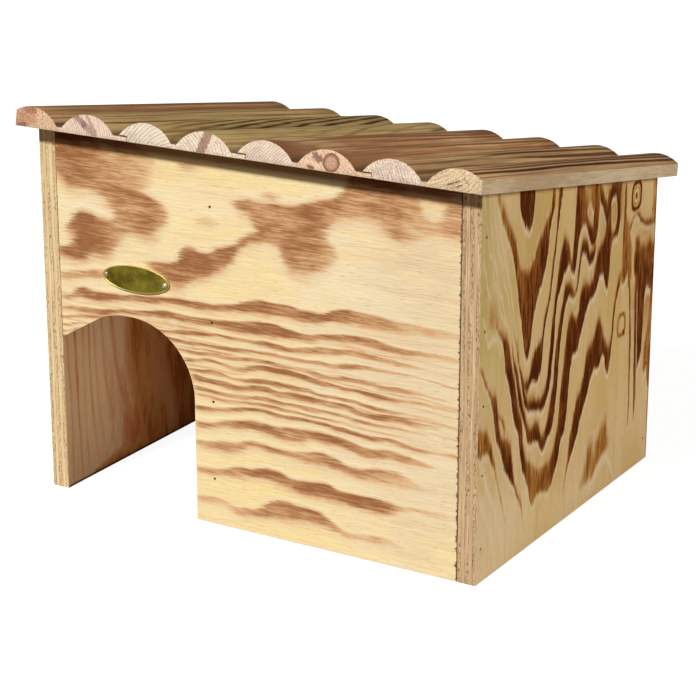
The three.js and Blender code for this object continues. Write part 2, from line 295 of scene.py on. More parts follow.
def plies_effect():
    """The sawn edge of plywood: thin lines along its plies, with open joints and torn-out cells in
    the two plies that show end grain. Through runs from 0 to 1 over the thickness."""
    bench, given, made = effect(
        "plywood edge",
        {"Through": "value", "Along": "value", "Seed": "value", "Light": "colour", "Dark": "colour"},
        {"Colour": "colour", "Relief": "value", "Roughness": "value"},
    )
    through, along, seed = given["Through"], given["Along"], given["Seed"]
    plies = 5.0

    def grained(along_scale, through_scale, detail=3.0, roughness=0.6):
        return bench.drawn_noise(along, along_scale, through, through_scale, seed, detail, roughness)

    waver = bench.times(bench.minus(grained(25.0, 2.0, 2.0), 0.5), 0.1)
    depth = bench.plus(through, waver)
    fine = grained(16.0, 34.0, 4.0, 0.65)
    slow = grained(14.0, 5.0, 2.0)
    cells = grained(300.0, 34.0, 2.0, 0.6)
    in_places = bench.rise(grained(22.0, 4.0, 1.0), 0.36, 0.56, 0.2, 1.0)
    lines = bench.blend(bench.rise(fine, 0.36, 0.64), given["Dark"], given["Light"])
    tone = bench.blend(bench.rise(slow, 0.35, 0.7, 0.0, 0.5), lines, given["Dark"])
    ply_number = bench.math("PINGPONG", bench.plus(bench.times(depth, plies), 0.5), 1.0)
    end_grain = bench.rise(ply_number, 0.3, 0.55)
    torn = bench.times(bench.times(end_grain, in_places), bench.rise(cells, 0.53, 0.62))
    glue = bench.math("PINGPONG", bench.times(depth, plies), 0.5)
    on_glue = bench.rise(glue, 0.0, 0.08, 1.0, 0.0)
    joint = bench.times(on_glue, bench.rise(grained(60.0, 9.0, 2.0), 0.45, 0.6))
    dark = bench.larger(bench.times(joint, 0.7), bench.times(torn, 0.85))
    bench.feed(made["Colour"], bench.blend(dark, tone, rgb(90, 58, 30)))
    bench.feed(made["Relief"], bench.minus(bench.times(fine, 0.6), dark))
    bench.feed(made["Roughness"], bench.plus(0.72, bench.times(cells, 0.2)))
    return bench.tree


wood_fibres = fibres_effect()
burnt_ring = band_effect()
peeled_figure = peeled_effect()
flamed_veneer = flame_effect()
plywood_edge = plies_effect()


def finish(name):
    """A new material: its bench and its shader."""
    material = bpy.data.materials.new(name)
    material.use_nodes = True
    shader = material.node_tree.nodes["Principled BSDF"]
    return material, Bench(material.node_tree), shader


def relief(bench, shader, height, depth):
    """Raises the surface by the height, which is 1 at the depth given."""
    bump = bench.node("Bump", {"Height": height, "Strength": 1.0, "Distance": depth})
    bench.feed(shader.inputs["Normal"], bump.outputs[0])


def after(bench, value, other):
    """The value unchanged, but worked out only when the other is known: a long row of rings then
    holds one ring's values at a time. No value here comes near the number added."""
    return bench.smaller(value, bench.plus(other, 9.0))


# How far past a free end, in millimetres, a ring has faded out and still runs on in line
FADED_OUT, STILL_IN_LINE = 1.5, 12


def ring_curves(bench, rows, span, along, spread=0.0):
    """One burnt ring drawn from rows of distance along, lower edge, upper edge and depth, in
    millimetres. spread widens it on both sides."""
    made = bench.node("VectorCurve", {"Fac": 1.0, "Vector": bench.pack(along, along, along)})
    made.mapping.extend = "HORIZONTAL"
    first, last = rows[0], rows[-1]
    drawn = [(place, lower - spread, upper + spread, depth) for place, lower, upper, depth in rows]
    if first[0] > 0:
        drawn = [(first[0] - reach, *drawn[0][1:3], 0.0) for reach in (STILL_IN_LINE, FADED_OUT)] + drawn
    if last[0] < span:
        drawn += [(last[0] + reach, *drawn[-1][1:3], 0.0) for reach in (FADED_OUT, STILL_IN_LINE)]
    for channel in range(3):
        points = made.mapping.curves[channel].points
        places = [(row[0] / span, row[3] if channel == 2 else row[1 + channel] / span) for row in drawn]
        while len(points) < len(places):
            points.new(0.5, 0.5)
        for point, place in zip(points, places):
            point.location = place
            point.handle_type = "AUTO_CLAMPED"
    made.mapping.update()
    return made.outputs[0]


def ring_burn(bench, rings, span, run, height, spread, strength, lean, fades, glows):
    """The burn and the pale halo of all the rings that are drawn on a panel."""
    burn, halo = 0.0, 0.0
    share_run = bench.over(run, span * MM)
    share_height = bench.over(height, span * MM)
    for softness, rows in rings:
        ring = ring_curves(bench, rows, span, after(bench, share_run, burn), spread)
        band = bench.use(burnt_ring, {
            "Before": burn, "Halo before": halo, "Height": share_height, "Ring": ring,
            "Softness": softness / span, "Strength": strength, "Lean": lean, "Low fade": fades[0],
            "High fade": fades[1], "Low glow": glows[0], "High glow": glows[1],
        })
        burn, halo = band["Burn"], band["Halo"]
    return burn, halo


def knot_burn(bench, burn, knots, run, z):
    """The burn with knots added: rounded oblongs given by their middle and half sizes, each with
    lines at a share of those sizes, as (share, width, depth)."""
    for centre_run, centre_height, half_run, half_height, lines in knots:
        beside = bench.over(bench.minus(run, centre_run * MM), half_run * MM)
        above = bench.over(bench.minus(z, centre_height * MM), half_height * MM)
        beside_cubed = bench.math("POWER", bench.math("ABSOLUTE", beside), 3.0)
        above_cubed = bench.math("POWER", bench.math("ABSOLUTE", above), 3.0)
        away = bench.math("POWER", bench.plus(beside_cubed, above_cubed), 1 / 3)
        for share, width, depth in lines:
            near = bench.math("ABSOLUTE", bench.minus(away, share))
            burn = bench.larger(burn, bench.times(bench.rise(near, 0.0, width, 1.0, 0.0), depth))
    return burn


def late_line_burn(bench, run, height, z, seed, lowest, highest):
    """Thin late rings between two heights, which bend slowly and fade in and out."""
    fade_in, fade_out = 6, 8
    bend = bench.noise(bench.pack(bench.times(run, 16.0), 0.0, seed), 1.0, 1.0)
    bent = bench.plus(height, bench.times(bend, 9.0 * MM))
    lines = bench.rise(bench.drawn_noise(run, 5.0, bent, 330.0, seed, 2.0), 0.46, 0.66)
    begun = bench.rise(z, (lowest - fade_in) * MM, (lowest + fade_in) * MM)
    ended = bench.rise(z, (highest - fade_out) * MM, (highest + fade_out) * MM, 1.0, 0.0)
    return bench.times(lines, bench.smaller(begun, ended))


def mottled(bench, ground, mottle, run, z, patch):
    """The ground toned in soft ovals, each given by its middle, half sizes, colour and cover."""
    for middle, reach, tone, cover in mottle:
        offset = bench.vector("SUBTRACT", bench.pack(run, z, 0.0), (middle[0] * MM, middle[1] * MM, 0.0))
        scaled = bench.vector("DIVIDE", offset, (reach[0] * MM, reach[1] * MM, 1.0))
        away = bench.measure("LENGTH", scaled)
        loosely = bench.plus(away, bench.times(bench.minus(patch, 0.5), 0.7))
        ground = bench.blend(bench.rise(loosely, 0.25, 1.1, cover, 0.0), ground, tone)
    return ground


# The chips of a sawn border: how deep they are at least, how much more so at the foot and
# higher up, and between which heights that changes
CHIP_LEAST = 0.65 * MM
CHIP_MORE_AT_FOOT, CHIP_MORE_AT_TOP = 3.0 * MM, 2.2 * MM
CHIP_FOOT, CHIP_TOP = 50 * MM, 220 * MM
CHIP_SOFTNESS = 0.4 * MM


def chips(bench, border, run, z, seed):
    """Where the fibres have broken out along a sawn border, the more so towards the ground."""
    broken = bench.noise(bench.pack(0.0, bench.times(z, 130.0), seed), 1.0, 6.0, 0.86)
    more = bench.rise(z, CHIP_FOOT, CHIP_TOP, CHIP_MORE_AT_FOOT, CHIP_MORE_AT_TOP)
    reach = bench.plus(CHIP_LEAST, bench.times(bench.rise(broken, 0.45, 0.72), more))
    from_border = bench.minus(border * MM, run)
    return bench.rise(bench.minus(from_border, reach), 0.0, CHIP_SOFTNESS, 1.0, 0.0)


# For each kind of veneer its pale, straw, tan, brown and charred tone, from 0 to 255
VENEER_COLOURS = {
    "front": ((255, 231, 171), (255, 240, 204), (235, 190, 141), (199, 149, 105), (158, 104, 66)),
    "side": ((233, 196, 124), (254, 228, 184), (204, 146, 66), (158, 92, 36), (86, 32, 0)),
    "plain": ((240, 208, 154), (246, 220, 172), (206, 156, 104), (156, 104, 62), (112, 66, 34)),
    "inner": ((238, 194, 146), (242, 204, 162), (214, 148, 86), (178, 98, 38), (136, 60, 12)),
}
VENEER_SWAY = 2.2 * MM
VENEER_RELIEF = 0.25 * MM
# The painted shade under the roof's overhang fades in over these distances
PAINTED_SHADE_FADE = (-2.5, 3.0)  # millimetres from the eaves, upwards


def veneer(name, colours, grain, seed, rings=(), span=400.0, start=0.0, lean=0.0, fades=(0.0, 0.0),
           glows=(0.5, 0.5), strength=1.0, painted_shade_height=None, pull=0.02, knots=(), figure=0.0, haze=0.0,
           halo=0.0, drawn_upright=False, mottle=(), chipped=None, spread=0.0, combed=1.0,
           fine_lines=None, painted_contact_shade=None):
    """Flamed veneer. grain is the panel's level axis and "level" or "up" for the way of its fibres;
    start is where distances along the panel begin, and these are all in millimetres. chipped is
    the distance of a sawn border whose fibres have broken out, and eaves the height above which
    painted shade darkens the wood, standing in for the roof's shadow. fine_lines are the heights
    between which thin late rings lie, and their depth; combed is how strongly the fibres show, and
    damp the height below which painted shade darkens the foot of the wood, standing in for a
    contact shadow. The other words are those of the functions above."""
    material, bench, shader = finish(name)
    x, y, z = bench.unpack(bench.node("TexCoord").outputs["Object"])
    along_panel = bench.minus(x if grain[0] == "x" else y, start * MM)
    is_level = grain[1] == "level"
    place = bench.pack(along_panel, z, 0.0) if is_level else bench.pack(z, along_panel, 0.0)
    fibre = bench.use(wood_fibres, {"Place": place, "Seed": seed})
    grain_run, across = bench.unpack(place)[:2]
    pulled = bench.plus(grain_run, bench.times(fibre["Teeth"], pull))
    sway = bench.times(bench.minus(bench.noise(place, 55.0, 1.0), 0.5), VENEER_SWAY)
    swayed = bench.plus(across, sway)
    figure_run, figure_height = (pulled, swayed) if is_level else (swayed, pulled)
    if drawn_upright:
        figure_run, figure_height = figure_height, figure_run
    burn, pale_edge = ring_burn(
        bench, rings, span, figure_run, figure_height, spread, strength, lean, fades, glows)
    loose_run = bench.plus(along_panel, bench.times(sway, 0.4))
    burn = knot_burn(bench, burn, knots, loose_run, z)
    if figure:
        feeds = {"Place": bench.pack(pulled, swayed, 0.0), "Seed": seed, "Rings": figure}
        peeled = bench.use(peeled_figure, feeds)["Burn"]
        burn = bench.larger(burn, peeled) if rings else peeled
    if haze:
        pale_lines = bench.rise(bench.drawn_noise(pulled, 5.0, swayed, 190.0, seed, 3.0), 0.45, 0.75)
        burn = bench.larger(burn, bench.times(pale_lines, haze))
    if fine_lines is not None:
        lowest, highest, line_depth = fine_lines
        lines = late_line_burn(bench, pulled, swayed, z, seed, lowest, highest)
        burn = bench.larger(burn, bench.times(lines, line_depth))
    pale, straw, tan, brown, char = (rgb(*tone) for tone in VENEER_COLOURS[colours])
    ground = mottled(bench, pale, mottle, along_panel, z, fibre["Patch"])
    if halo:
        ground = bench.blend(bench.times(pale_edge, halo), ground, straw)
    comb = bench.rise(fibre["Streak"], 0.5 - 0.5 / combed, 0.5 + 0.5 / combed)
    flame = bench.use(flamed_veneer, {
        "Burn": burn, "Streak": comb, "Cloud": fibre["Cloud"], "Pore": fibre["Pore"],
        "Patch": fibre["Patch"], "Pale": ground, "Straw": straw, "Tan": tan, "Brown": brown, "Char": char,
    })
    colour, height = flame["Colour"], flame["Relief"]
    if chipped is not None:
        hole = chips(bench, chipped, along_panel, z, seed)
        colour = bench.blend(bench.times(hole, 0.9), colour, rgb(92, 58, 22))
        height = bench.minus(height, bench.times(hole, 0.5))
    # Painted shade: the wood just under the roof is darkened, standing in for the overhang's shadow
    if painted_shade_height is not None:
        lowest, highest = ((painted_shade_height + step) * MM for step in PAINTED_SHADE_FADE)
        colour = bench.blend(bench.rise(z, lowest, highest, 0.0, 0.85), colour, rgb(138, 96, 64), "MULTIPLY")
    # Painted shade: the foot of the wood is darkened, standing in for a contact shadow on the floor
    if painted_contact_shade is not None:
        contact_shade = bench.rise(z, painted_contact_shade * 0.4 * MM, painted_contact_shade * MM, 0.95, 0.0)
        colour = bench.blend(contact_shade, colour, rgb(74, 40, 20), "MULTIPLY")
    bench.feed(shader.inputs["Base Color"], colour)
    bench.feed(shader.inputs["Roughness"], flame["Roughness"])
    shader.inputs["Specular IOR Level"].default_value = 0.06
    relief(bench, shader, height, VENEER_RELIEF)
    return material


PLY_EDGE_RELIEF = 0.3 * MM


def ply_edge(name, through, start, thickness, seed, light=rgb(222, 190, 146), dark=rgb(188, 152, 112)):
    """The layered sawn edge of a panel; through is the axis across its plies."""
    material, bench, shader = finish(name)
    axes = dict(zip("xyz", bench.unpack(bench.node("TexCoord").outputs["Object"])))
    depth = bench.over(bench.minus(axes[through], start), thickness)
    run = bench.plus(*(axes[axis] for axis in "xyz" if axis != through))
    edge = bench.use(plywood_edge, {
        "Through": depth, "Along": run, "Seed": seed, "Light": light, "Dark": dark,
    })
    bench.feed(shader.inputs["Base Color"], edge["Colour"])
    bench.feed(shader.inputs["Roughness"], edge["Roughness"])
    shader.inputs["Specular IOR Level"].default_value = 0.25
    relief(bench, shader, edge["Relief"], PLY_EDGE_RELIEF)
    return material


# The front wall's figure, drawn ring by ring: the softness of its edges, then rows of the
# distance from the left wall's outer face and of its lower and upper edge above the ground,
# all in millimetres, and of how deeply it is burnt there
FRONT_RINGS = (
    (4.2, (
        (14, 258, 292, 0.74), (20, 255, 292, 0.76), (27, 250, 292, 0.82), (45, 249.5, 292, 0.74),
        (52, 248, 290, 0.7), (58, 244, 284, 0.64), (64, 240, 276, 0.62), (68, 236, 268, 0.62),
        (71, 226, 262, 0.64), (80, 221, 257, 0.6), (90, 220, 254, 0.66), (100, 220, 252, 0.72),
        (106, 222, 250, 0.68), (112, 228, 247, 0.52), (118, 236, 243, 0.3),
    )),
    (4.6, (
        (46, 246, 292, 0.5), (66, 246, 292, 0.52), (80, 248, 291, 0.44), (92, 252, 289, 0.36),
        (101, 258, 285, 0.24), (108, 266, 280, 0.12),
    )),
    (3.8, (
        (21, 212.5, 215, 0.5), (28, 211, 222, 0.72), (33, 208, 229, 0.8), (39, 203, 231, 0.9),
        (46, 200, 230, 0.88), (53, 199, 228.5, 0.8), (61, 200, 228, 0.72), (68, 205, 229, 0.6),
        (75, 213, 230, 0.5), (84, 219, 228, 0.4),
    )),
    (3.0, (
        (15, 192, 200, 0.6), (22, 192, 202, 0.75), (30, 191, 207, 0.85), (38, 193, 212, 0.9),
        (45, 197, 211, 0.8), (55, 200, 209, 0.55), (66, 203, 208, 0.3),
    )),
    (2.2, (
        (15, 174, 179.5, 0.4), (25, 175, 182, 0.45), (36, 177, 183.5, 0.45), (46, 179, 186, 0.5),
        (57, 180.5, 187, 0.45), (66, 183, 188, 0.3),
    )),
    (1.6, (
        (15, 158, 161, 0.5), (25, 159, 163, 0.6), (32, 162, 168, 0.7), (38, 162, 170, 0.75),
        (46, 161.5, 169, 0.7), (60, 163, 169, 0.7), (80, 166, 171, 0.7), (100, 168, 173, 0.75),
        (115, 170, 174.5, 0.7), (130, 170.5, 176, 0.75), (150, 171, 176, 0.7), (165, 172, 177, 0.7),
        (180, 174, 180, 0.72), (190, 175, 184, 0.76), (205, 176, 186, 0.74), (220, 176.5, 186, 0.7),
        (235, 175.5, 184, 0.68), (250, 177, 184, 0.75), (262, 180, 188, 0.7), (275, 180, 191, 0.6),
        (290, 180, 190.5, 0.55), (310, 180, 189, 0.5), (330, 181, 188.5, 0.4), (350, 182, 188, 0.3),
        (366, 183, 188, 0.2),
    )),
    (1.3, (
        (15, 149.5, 152, 0.5), (30, 151, 154, 0.6), (50, 150.5, 154.5, 0.6), (70, 154.5, 157.5, 0.6),
        (90, 156, 160, 0.65), (102, 157, 162, 0.7), (118, 158, 164, 0.75), (135, 157.5, 163, 0.75),
        (150, 158, 164, 0.7), (165, 158.5, 164.5, 0.7), (180, 158.5, 166, 0.75), (190, 159.5, 168, 0.85),
        (205, 160, 169.5, 0.9), (220, 161, 168, 0.85), (235, 162, 166.5, 0.75), (250, 164, 168, 0.7),
        (265, 166, 171, 0.65), (280, 167, 172.5, 0.65), (295, 166, 172, 0.65), (310, 165, 170, 0.6),
        (320, 165, 169, 0.5), (335, 166.5, 170, 0.35), (355, 166, 170, 0.25), (366, 166, 169, 0.2),
    )),
    (1.0, (
        (15, 142, 144, 0.5), (30, 145, 147, 0.5), (50, 147, 149, 0.5), (110, 146.5, 148.5, 0.6),
        (128, 147.5, 151, 0.65), (145, 150, 152.5, 0.65), (165, 151.5, 153.5, 0.55), (190, 151.5, 154, 0.6),
        (200, 151, 155, 0.65), (212, 150, 154.5, 0.7), (225, 150.5, 153.5, 0.65), (240, 152, 156, 0.6),
        (252, 154, 159, 0.6), (268, 156, 160, 0.55), (285, 156.5, 161, 0.55), (300, 156, 160, 0.5),
        (320, 156, 159, 0.4), (340, 156, 158, 0.2),
    )),
    (1.0, (
        (15, 136, 137.5, 0.5), (40, 141, 142.5, 0.5), (100, 142.5, 144, 0.5), (130, 141, 143.5, 0.6),
        (150, 142, 144, 0.55), (170, 142, 145, 0.6), (190, 144, 146.5, 0.55), (205, 144.5, 147, 0.5),
        (220, 144, 146.5, 0.5), (235, 144, 146.5, 0.45), (250, 145, 147.5, 0.5), (262, 143.5, 147.5, 0.5),
        (272, 146, 149.5, 0.55), (285, 148, 151, 0.5), (305, 149, 151, 0.4), (330, 149.5, 151, 0.2),
    )),
    (0.8, (
        (15, 131, 132.5, 0.45), (40, 137, 138.5, 0.45), (130, 137.5, 139, 0.35), (155, 138.5, 140, 0.35),
        (180, 138.5, 140, 0.25),
    )),
    (1.0, (
        (15, 128, 129, 0.45), (35, 132, 133.5, 0.45), (130, 134, 136.5, 0.6), (145, 134, 136.5, 0.6),
        (160, 135.5, 138, 0.5), (175, 135.5, 138, 0.5), (190, 137, 139.5, 0.5), (205, 137, 140, 0.6),
        (220, 137, 139.5, 0.55), (235, 138, 140, 0.5), (250, 134.5, 139, 0.5), (260, 134.5, 138, 0.5),
        (272, 137, 140, 0.6), (285, 137, 140, 0.6), (295, 137.5, 140.5, 0.5), (305, 134.5, 138, 0.55),
        (318, 136, 140, 0.5), (335, 136.5, 139, 0.3), (360, 136, 138, 0.15),
    )),
    (1.0, (
        (130, 127.5, 130, 0.75), (145, 129, 131, 0.6), (155, 130, 132.5, 0.65), (170, 128.5, 131, 0.6),
        (180, 127.5, 131, 0.7), (190, 130, 133.5, 0.8), (205, 132, 136, 0.8), (215, 132, 136, 0.8),
        (230, 132, 135.5, 0.75), (242, 130, 134.5, 0.8), (252, 129.5, 133, 0.7), (268, 129.5, 132, 0.7),
        (285, 129, 131.5, 0.65), (300, 128, 131.5, 0.7), (308, 128, 130.5, 0.6), (325, 129, 131, 0.5),
        (345, 129.5, 132, 0.3), (366, 130, 132.5, 0.3),
    )),
    (1.0, (
        (132, 120.5, 122.5, 0.5), (145, 121, 123, 0.55), (160, 121, 124, 0.4), (172, 119.8, 122, 0.45),
        (185, 120, 122.5, 0.5), (198, 121, 124.5, 0.6), (212, 122.5, 125.5, 0.6), (225, 121.5, 125, 0.55),
        (238, 122, 125, 0.5), (250, 120.5, 122.5, 0.5), (268, 121, 123, 0.5), (285, 120, 122, 0.5),
        (300, 118.5, 121.5, 0.55), (320, 120, 121.5, 0.35), (345, 120, 121.5, 0.15),
    )),
    (1.15, (
        (134, 116, 119, 0.5), (140, 113, 117.5, 0.7), (155, 113, 116.5, 0.7), (168, 112, 117, 0.65),
        (178, 111.5, 115.5, 0.75), (190, 114, 118, 0.7), (203, 115, 119.5, 0.75), (215, 114.5, 118.5, 0.7),
        (230, 114.5, 119.5, 0.75), (245, 115, 118.5, 0.75), (258, 113.5, 118, 0.65),
        (270, 114.5, 118.5, 0.7), (280, 112, 116, 0.65), (292, 111.5, 115.5, 0.65),
        (305, 112.5, 117.5, 0.6), (318, 113, 118, 0.55), (330, 112, 116, 0.45), (350, 112.5, 116, 0.2),
    )),
    (1.0, (
        (138, 106.5, 109.5, 0.6), (150, 105.5, 108.5, 0.6), (162, 105.5, 108, 0.55), (178, 106, 108.5, 0.5),
        (192, 107.5, 110.5, 0.55), (203, 109, 112, 0.55), (215, 107.5, 110.5, 0.55),
        (228, 108, 110.5, 0.55), (240, 107.5, 111, 0.55), (255, 108.5, 110.5, 0.5),
        (268, 108.5, 110.5, 0.5), (280, 106, 109, 0.55), (298, 106.5, 108.5, 0.5), (315, 107, 109, 0.4),
        (340, 106.5, 108.5, 0.2),
    )),
    (0.8, (
        (140, 101.5, 103.5, 0.4), (155, 101.5, 103.5, 0.45), (172, 101, 103.5, 0.35),
        (188, 103.5, 105, 0.45), (205, 103.5, 106, 0.5), (222, 103, 105, 0.45), (240, 103.5, 105, 0.4),
        (255, 103.5, 105, 0.45), (270, 103.5, 105, 0.4), (280, 101.5, 103.5, 0.35), (300, 101.5, 103, 0.3),
        (320, 101.5, 103, 0.2),
    )),
    (1.15, (
        (138, 90.5, 93.5, 0.65), (155, 91, 94.5, 0.6), (165, 93, 96, 0.65), (178, 96, 99, 0.75),
        (190, 98, 100.5, 0.75), (203, 98.5, 101, 0.8), (212, 97, 100, 0.75), (225, 97.5, 100, 0.7),
        (240, 98.5, 101, 0.7), (252, 98.5, 101, 0.7), (268, 97, 100, 0.75), (280, 95.5, 99, 0.7),
        (292, 94, 97.5, 0.6), (305, 96, 99, 0.6), (318, 95, 98.5, 0.55), (330, 93, 96.5, 0.5),
        (345, 94.5, 96.5, 0.35), (366, 95, 97, 0.4),
    )),
    (1.9, (
        (138, 75.5, 80.5, 0.5), (150, 77, 81.5, 0.55), (162, 79, 84, 0.55), (172, 80.5, 87, 0.6),
        (185, 82.5, 89, 0.7), (196, 84, 90.5, 0.7), (208, 82.5, 90, 0.7), (220, 80.5, 90.5, 0.65),
        (232, 82, 91.5, 0.65), (245, 86, 92.5, 0.65), (258, 86, 92.5, 0.7), (272, 84.5, 91.5, 0.7),
        (283, 81.5, 89, 0.65), (295, 80.5, 88, 0.55), (308, 84.5, 90, 0.55), (320, 82.5, 89, 0.5),
        (332, 82.5, 86.5, 0.35), (345, 83, 86, 0.15),
    )),
    (2.2, (
        (138, 60.5, 65.5, 0.4), (152, 61, 67, 0.45), (165, 61, 69.5, 0.5), (178, 63.5, 70.5, 0.5),
        (190, 69, 74, 0.5), (200, 69, 74, 0.55), (212, 68, 72.5, 0.6), (225, 67.5, 72, 0.6),
        (238, 66.5, 74, 0.55), (250, 66.5, 77, 0.65), (262, 66, 75, 0.7), (272, 65, 71, 0.6),
        (285, 63.5, 71, 0.55), (298, 63.5, 74, 0.55), (312, 63.5, 75, 0.5), (322, 63, 72, 0.35),
        (335, 63, 68, 0.22), (350, 64, 67, 0.1),
    )),
    (2.0, (
        (138, 39, 43.5, 0.35), (152, 39.5, 44.5, 0.4), (165, 41, 46.5, 0.5), (178, 43, 50.5, 0.6),
        (190, 45, 51, 0.75), (203, 46.5, 54.5, 0.88), (214, 44.5, 54, 0.88), (226, 42.5, 51, 0.8),
        (240, 41, 51.5, 0.8), (255, 41.5, 53, 0.82), (268, 41, 49.5, 0.78), (280, 40, 49, 0.78),
        (295, 40, 50, 0.76), (306, 40.5, 50, 0.72), (315, 44, 49, 0.5), (328, 46, 49.5, 0.3),
        (345, 45.5, 50.5, 0.22), (366, 46, 50, 0.12),
    )),
    (2.3, (
        (138, 13, 20, 0.22), (155, 15, 22, 0.28), (165, 14, 21, 0.3), (175, 11, 17.5, 0.42),
        (188, 12, 19.5, 0.5), (198, 14, 22, 0.6), (208, 16, 30, 0.68), (218, 17, 31.5, 0.7),
        (230, 19, 30.5, 0.72), (242, 20, 30, 0.72), (252, 20, 28, 0.66), (262, 16.5, 22, 0.45),
        (275, 13.5, 18.5, 0.35), (290, 14, 19.5, 0.38), (302, 14, 21, 0.32), (320, 14, 18, 0.15),
    )),
    (3.2, (
        (97, 196, 200, 0.4), (105, 194, 201, 0.6), (115, 185, 201, 0.7), (125, 184, 204, 0.75),
        (131, 186, 216, 0.75), (138, 192, 217, 0.78), (145, 195, 214, 0.8), (152, 197, 214, 0.85),
        (160, 201, 219, 0.75), (168, 206, 221, 0.8), (176, 213, 225, 0.65), (182, 222, 230, 0.6),
        (188, 227, 234, 0.6), (196, 229, 238, 0.65), (203, 231, 246, 0.7),
    )),
    (3.4, (
        (176, 253, 259, 0.3), (184, 249, 260, 0.55), (190, 247.5, 260.5, 0.6), (196, 238, 260.5, 0.6),
        (203, 230.5, 260.5, 0.6), (212, 230, 261, 0.62), (218, 222, 261, 0.64), (222, 213, 261, 0.64),
        (230, 211, 262, 0.66), (240, 211.5, 265, 0.68), (247, 215, 268, 0.66), (252, 226, 269, 0.62),
        (256, 247, 270, 0.6), (262, 255, 271, 0.6), (270, 257, 279, 0.58), (280, 258, 292, 0.55),
        (295, 257.5, 292, 0.62), (305, 252, 292, 0.6), (312, 247.5, 292, 0.6), (322, 248, 292, 0.5),
        (328, 250, 284, 0.42), (336, 253, 270, 0.36), (342, 255, 266, 0.34), (348, 256, 268, 0.38),
        (353, 256, 280, 0.5), (366, 256, 284, 0.56),
    )),
    (4.0, (
        (322, 277, 292, 0.4), (334, 280, 292, 0.4), (346, 279, 292, 0.42), (358, 276, 292, 0.5),
    )),
    (4.0, (
        (218, 222, 236, 0.28), (230, 216, 238, 0.55), (246, 215, 240, 0.56), (252, 217, 242, 0.52),
        (258, 221, 239, 0.44), (264, 226, 235, 0.28),
    )),
    (3.0, (
        (128, 274, 281, 0.2), (138, 273, 282, 0.34), (148, 275, 282, 0.2),
    )),
    (3.0, (
        (199, 263, 266, 0.2), (208, 262, 269, 0.32), (217, 263, 267, 0.2),
    )),
    (3.0, (
        (144, 234, 240, 0.12), (154, 234, 242, 0.22), (166, 236, 240, 0.1),
    )),
    (0.4, (
        (67, 253.4, 254.6, 0.6), (73, 253.2, 254.8, 1.0), (76, 253.6, 254.4, 0.6),
    )),
    (0.4, (
        (205, 259.3, 259.9, 0.5), (212, 259.0, 260.3, 1.0), (217, 259.2, 260.0, 0.6),
    )),
)

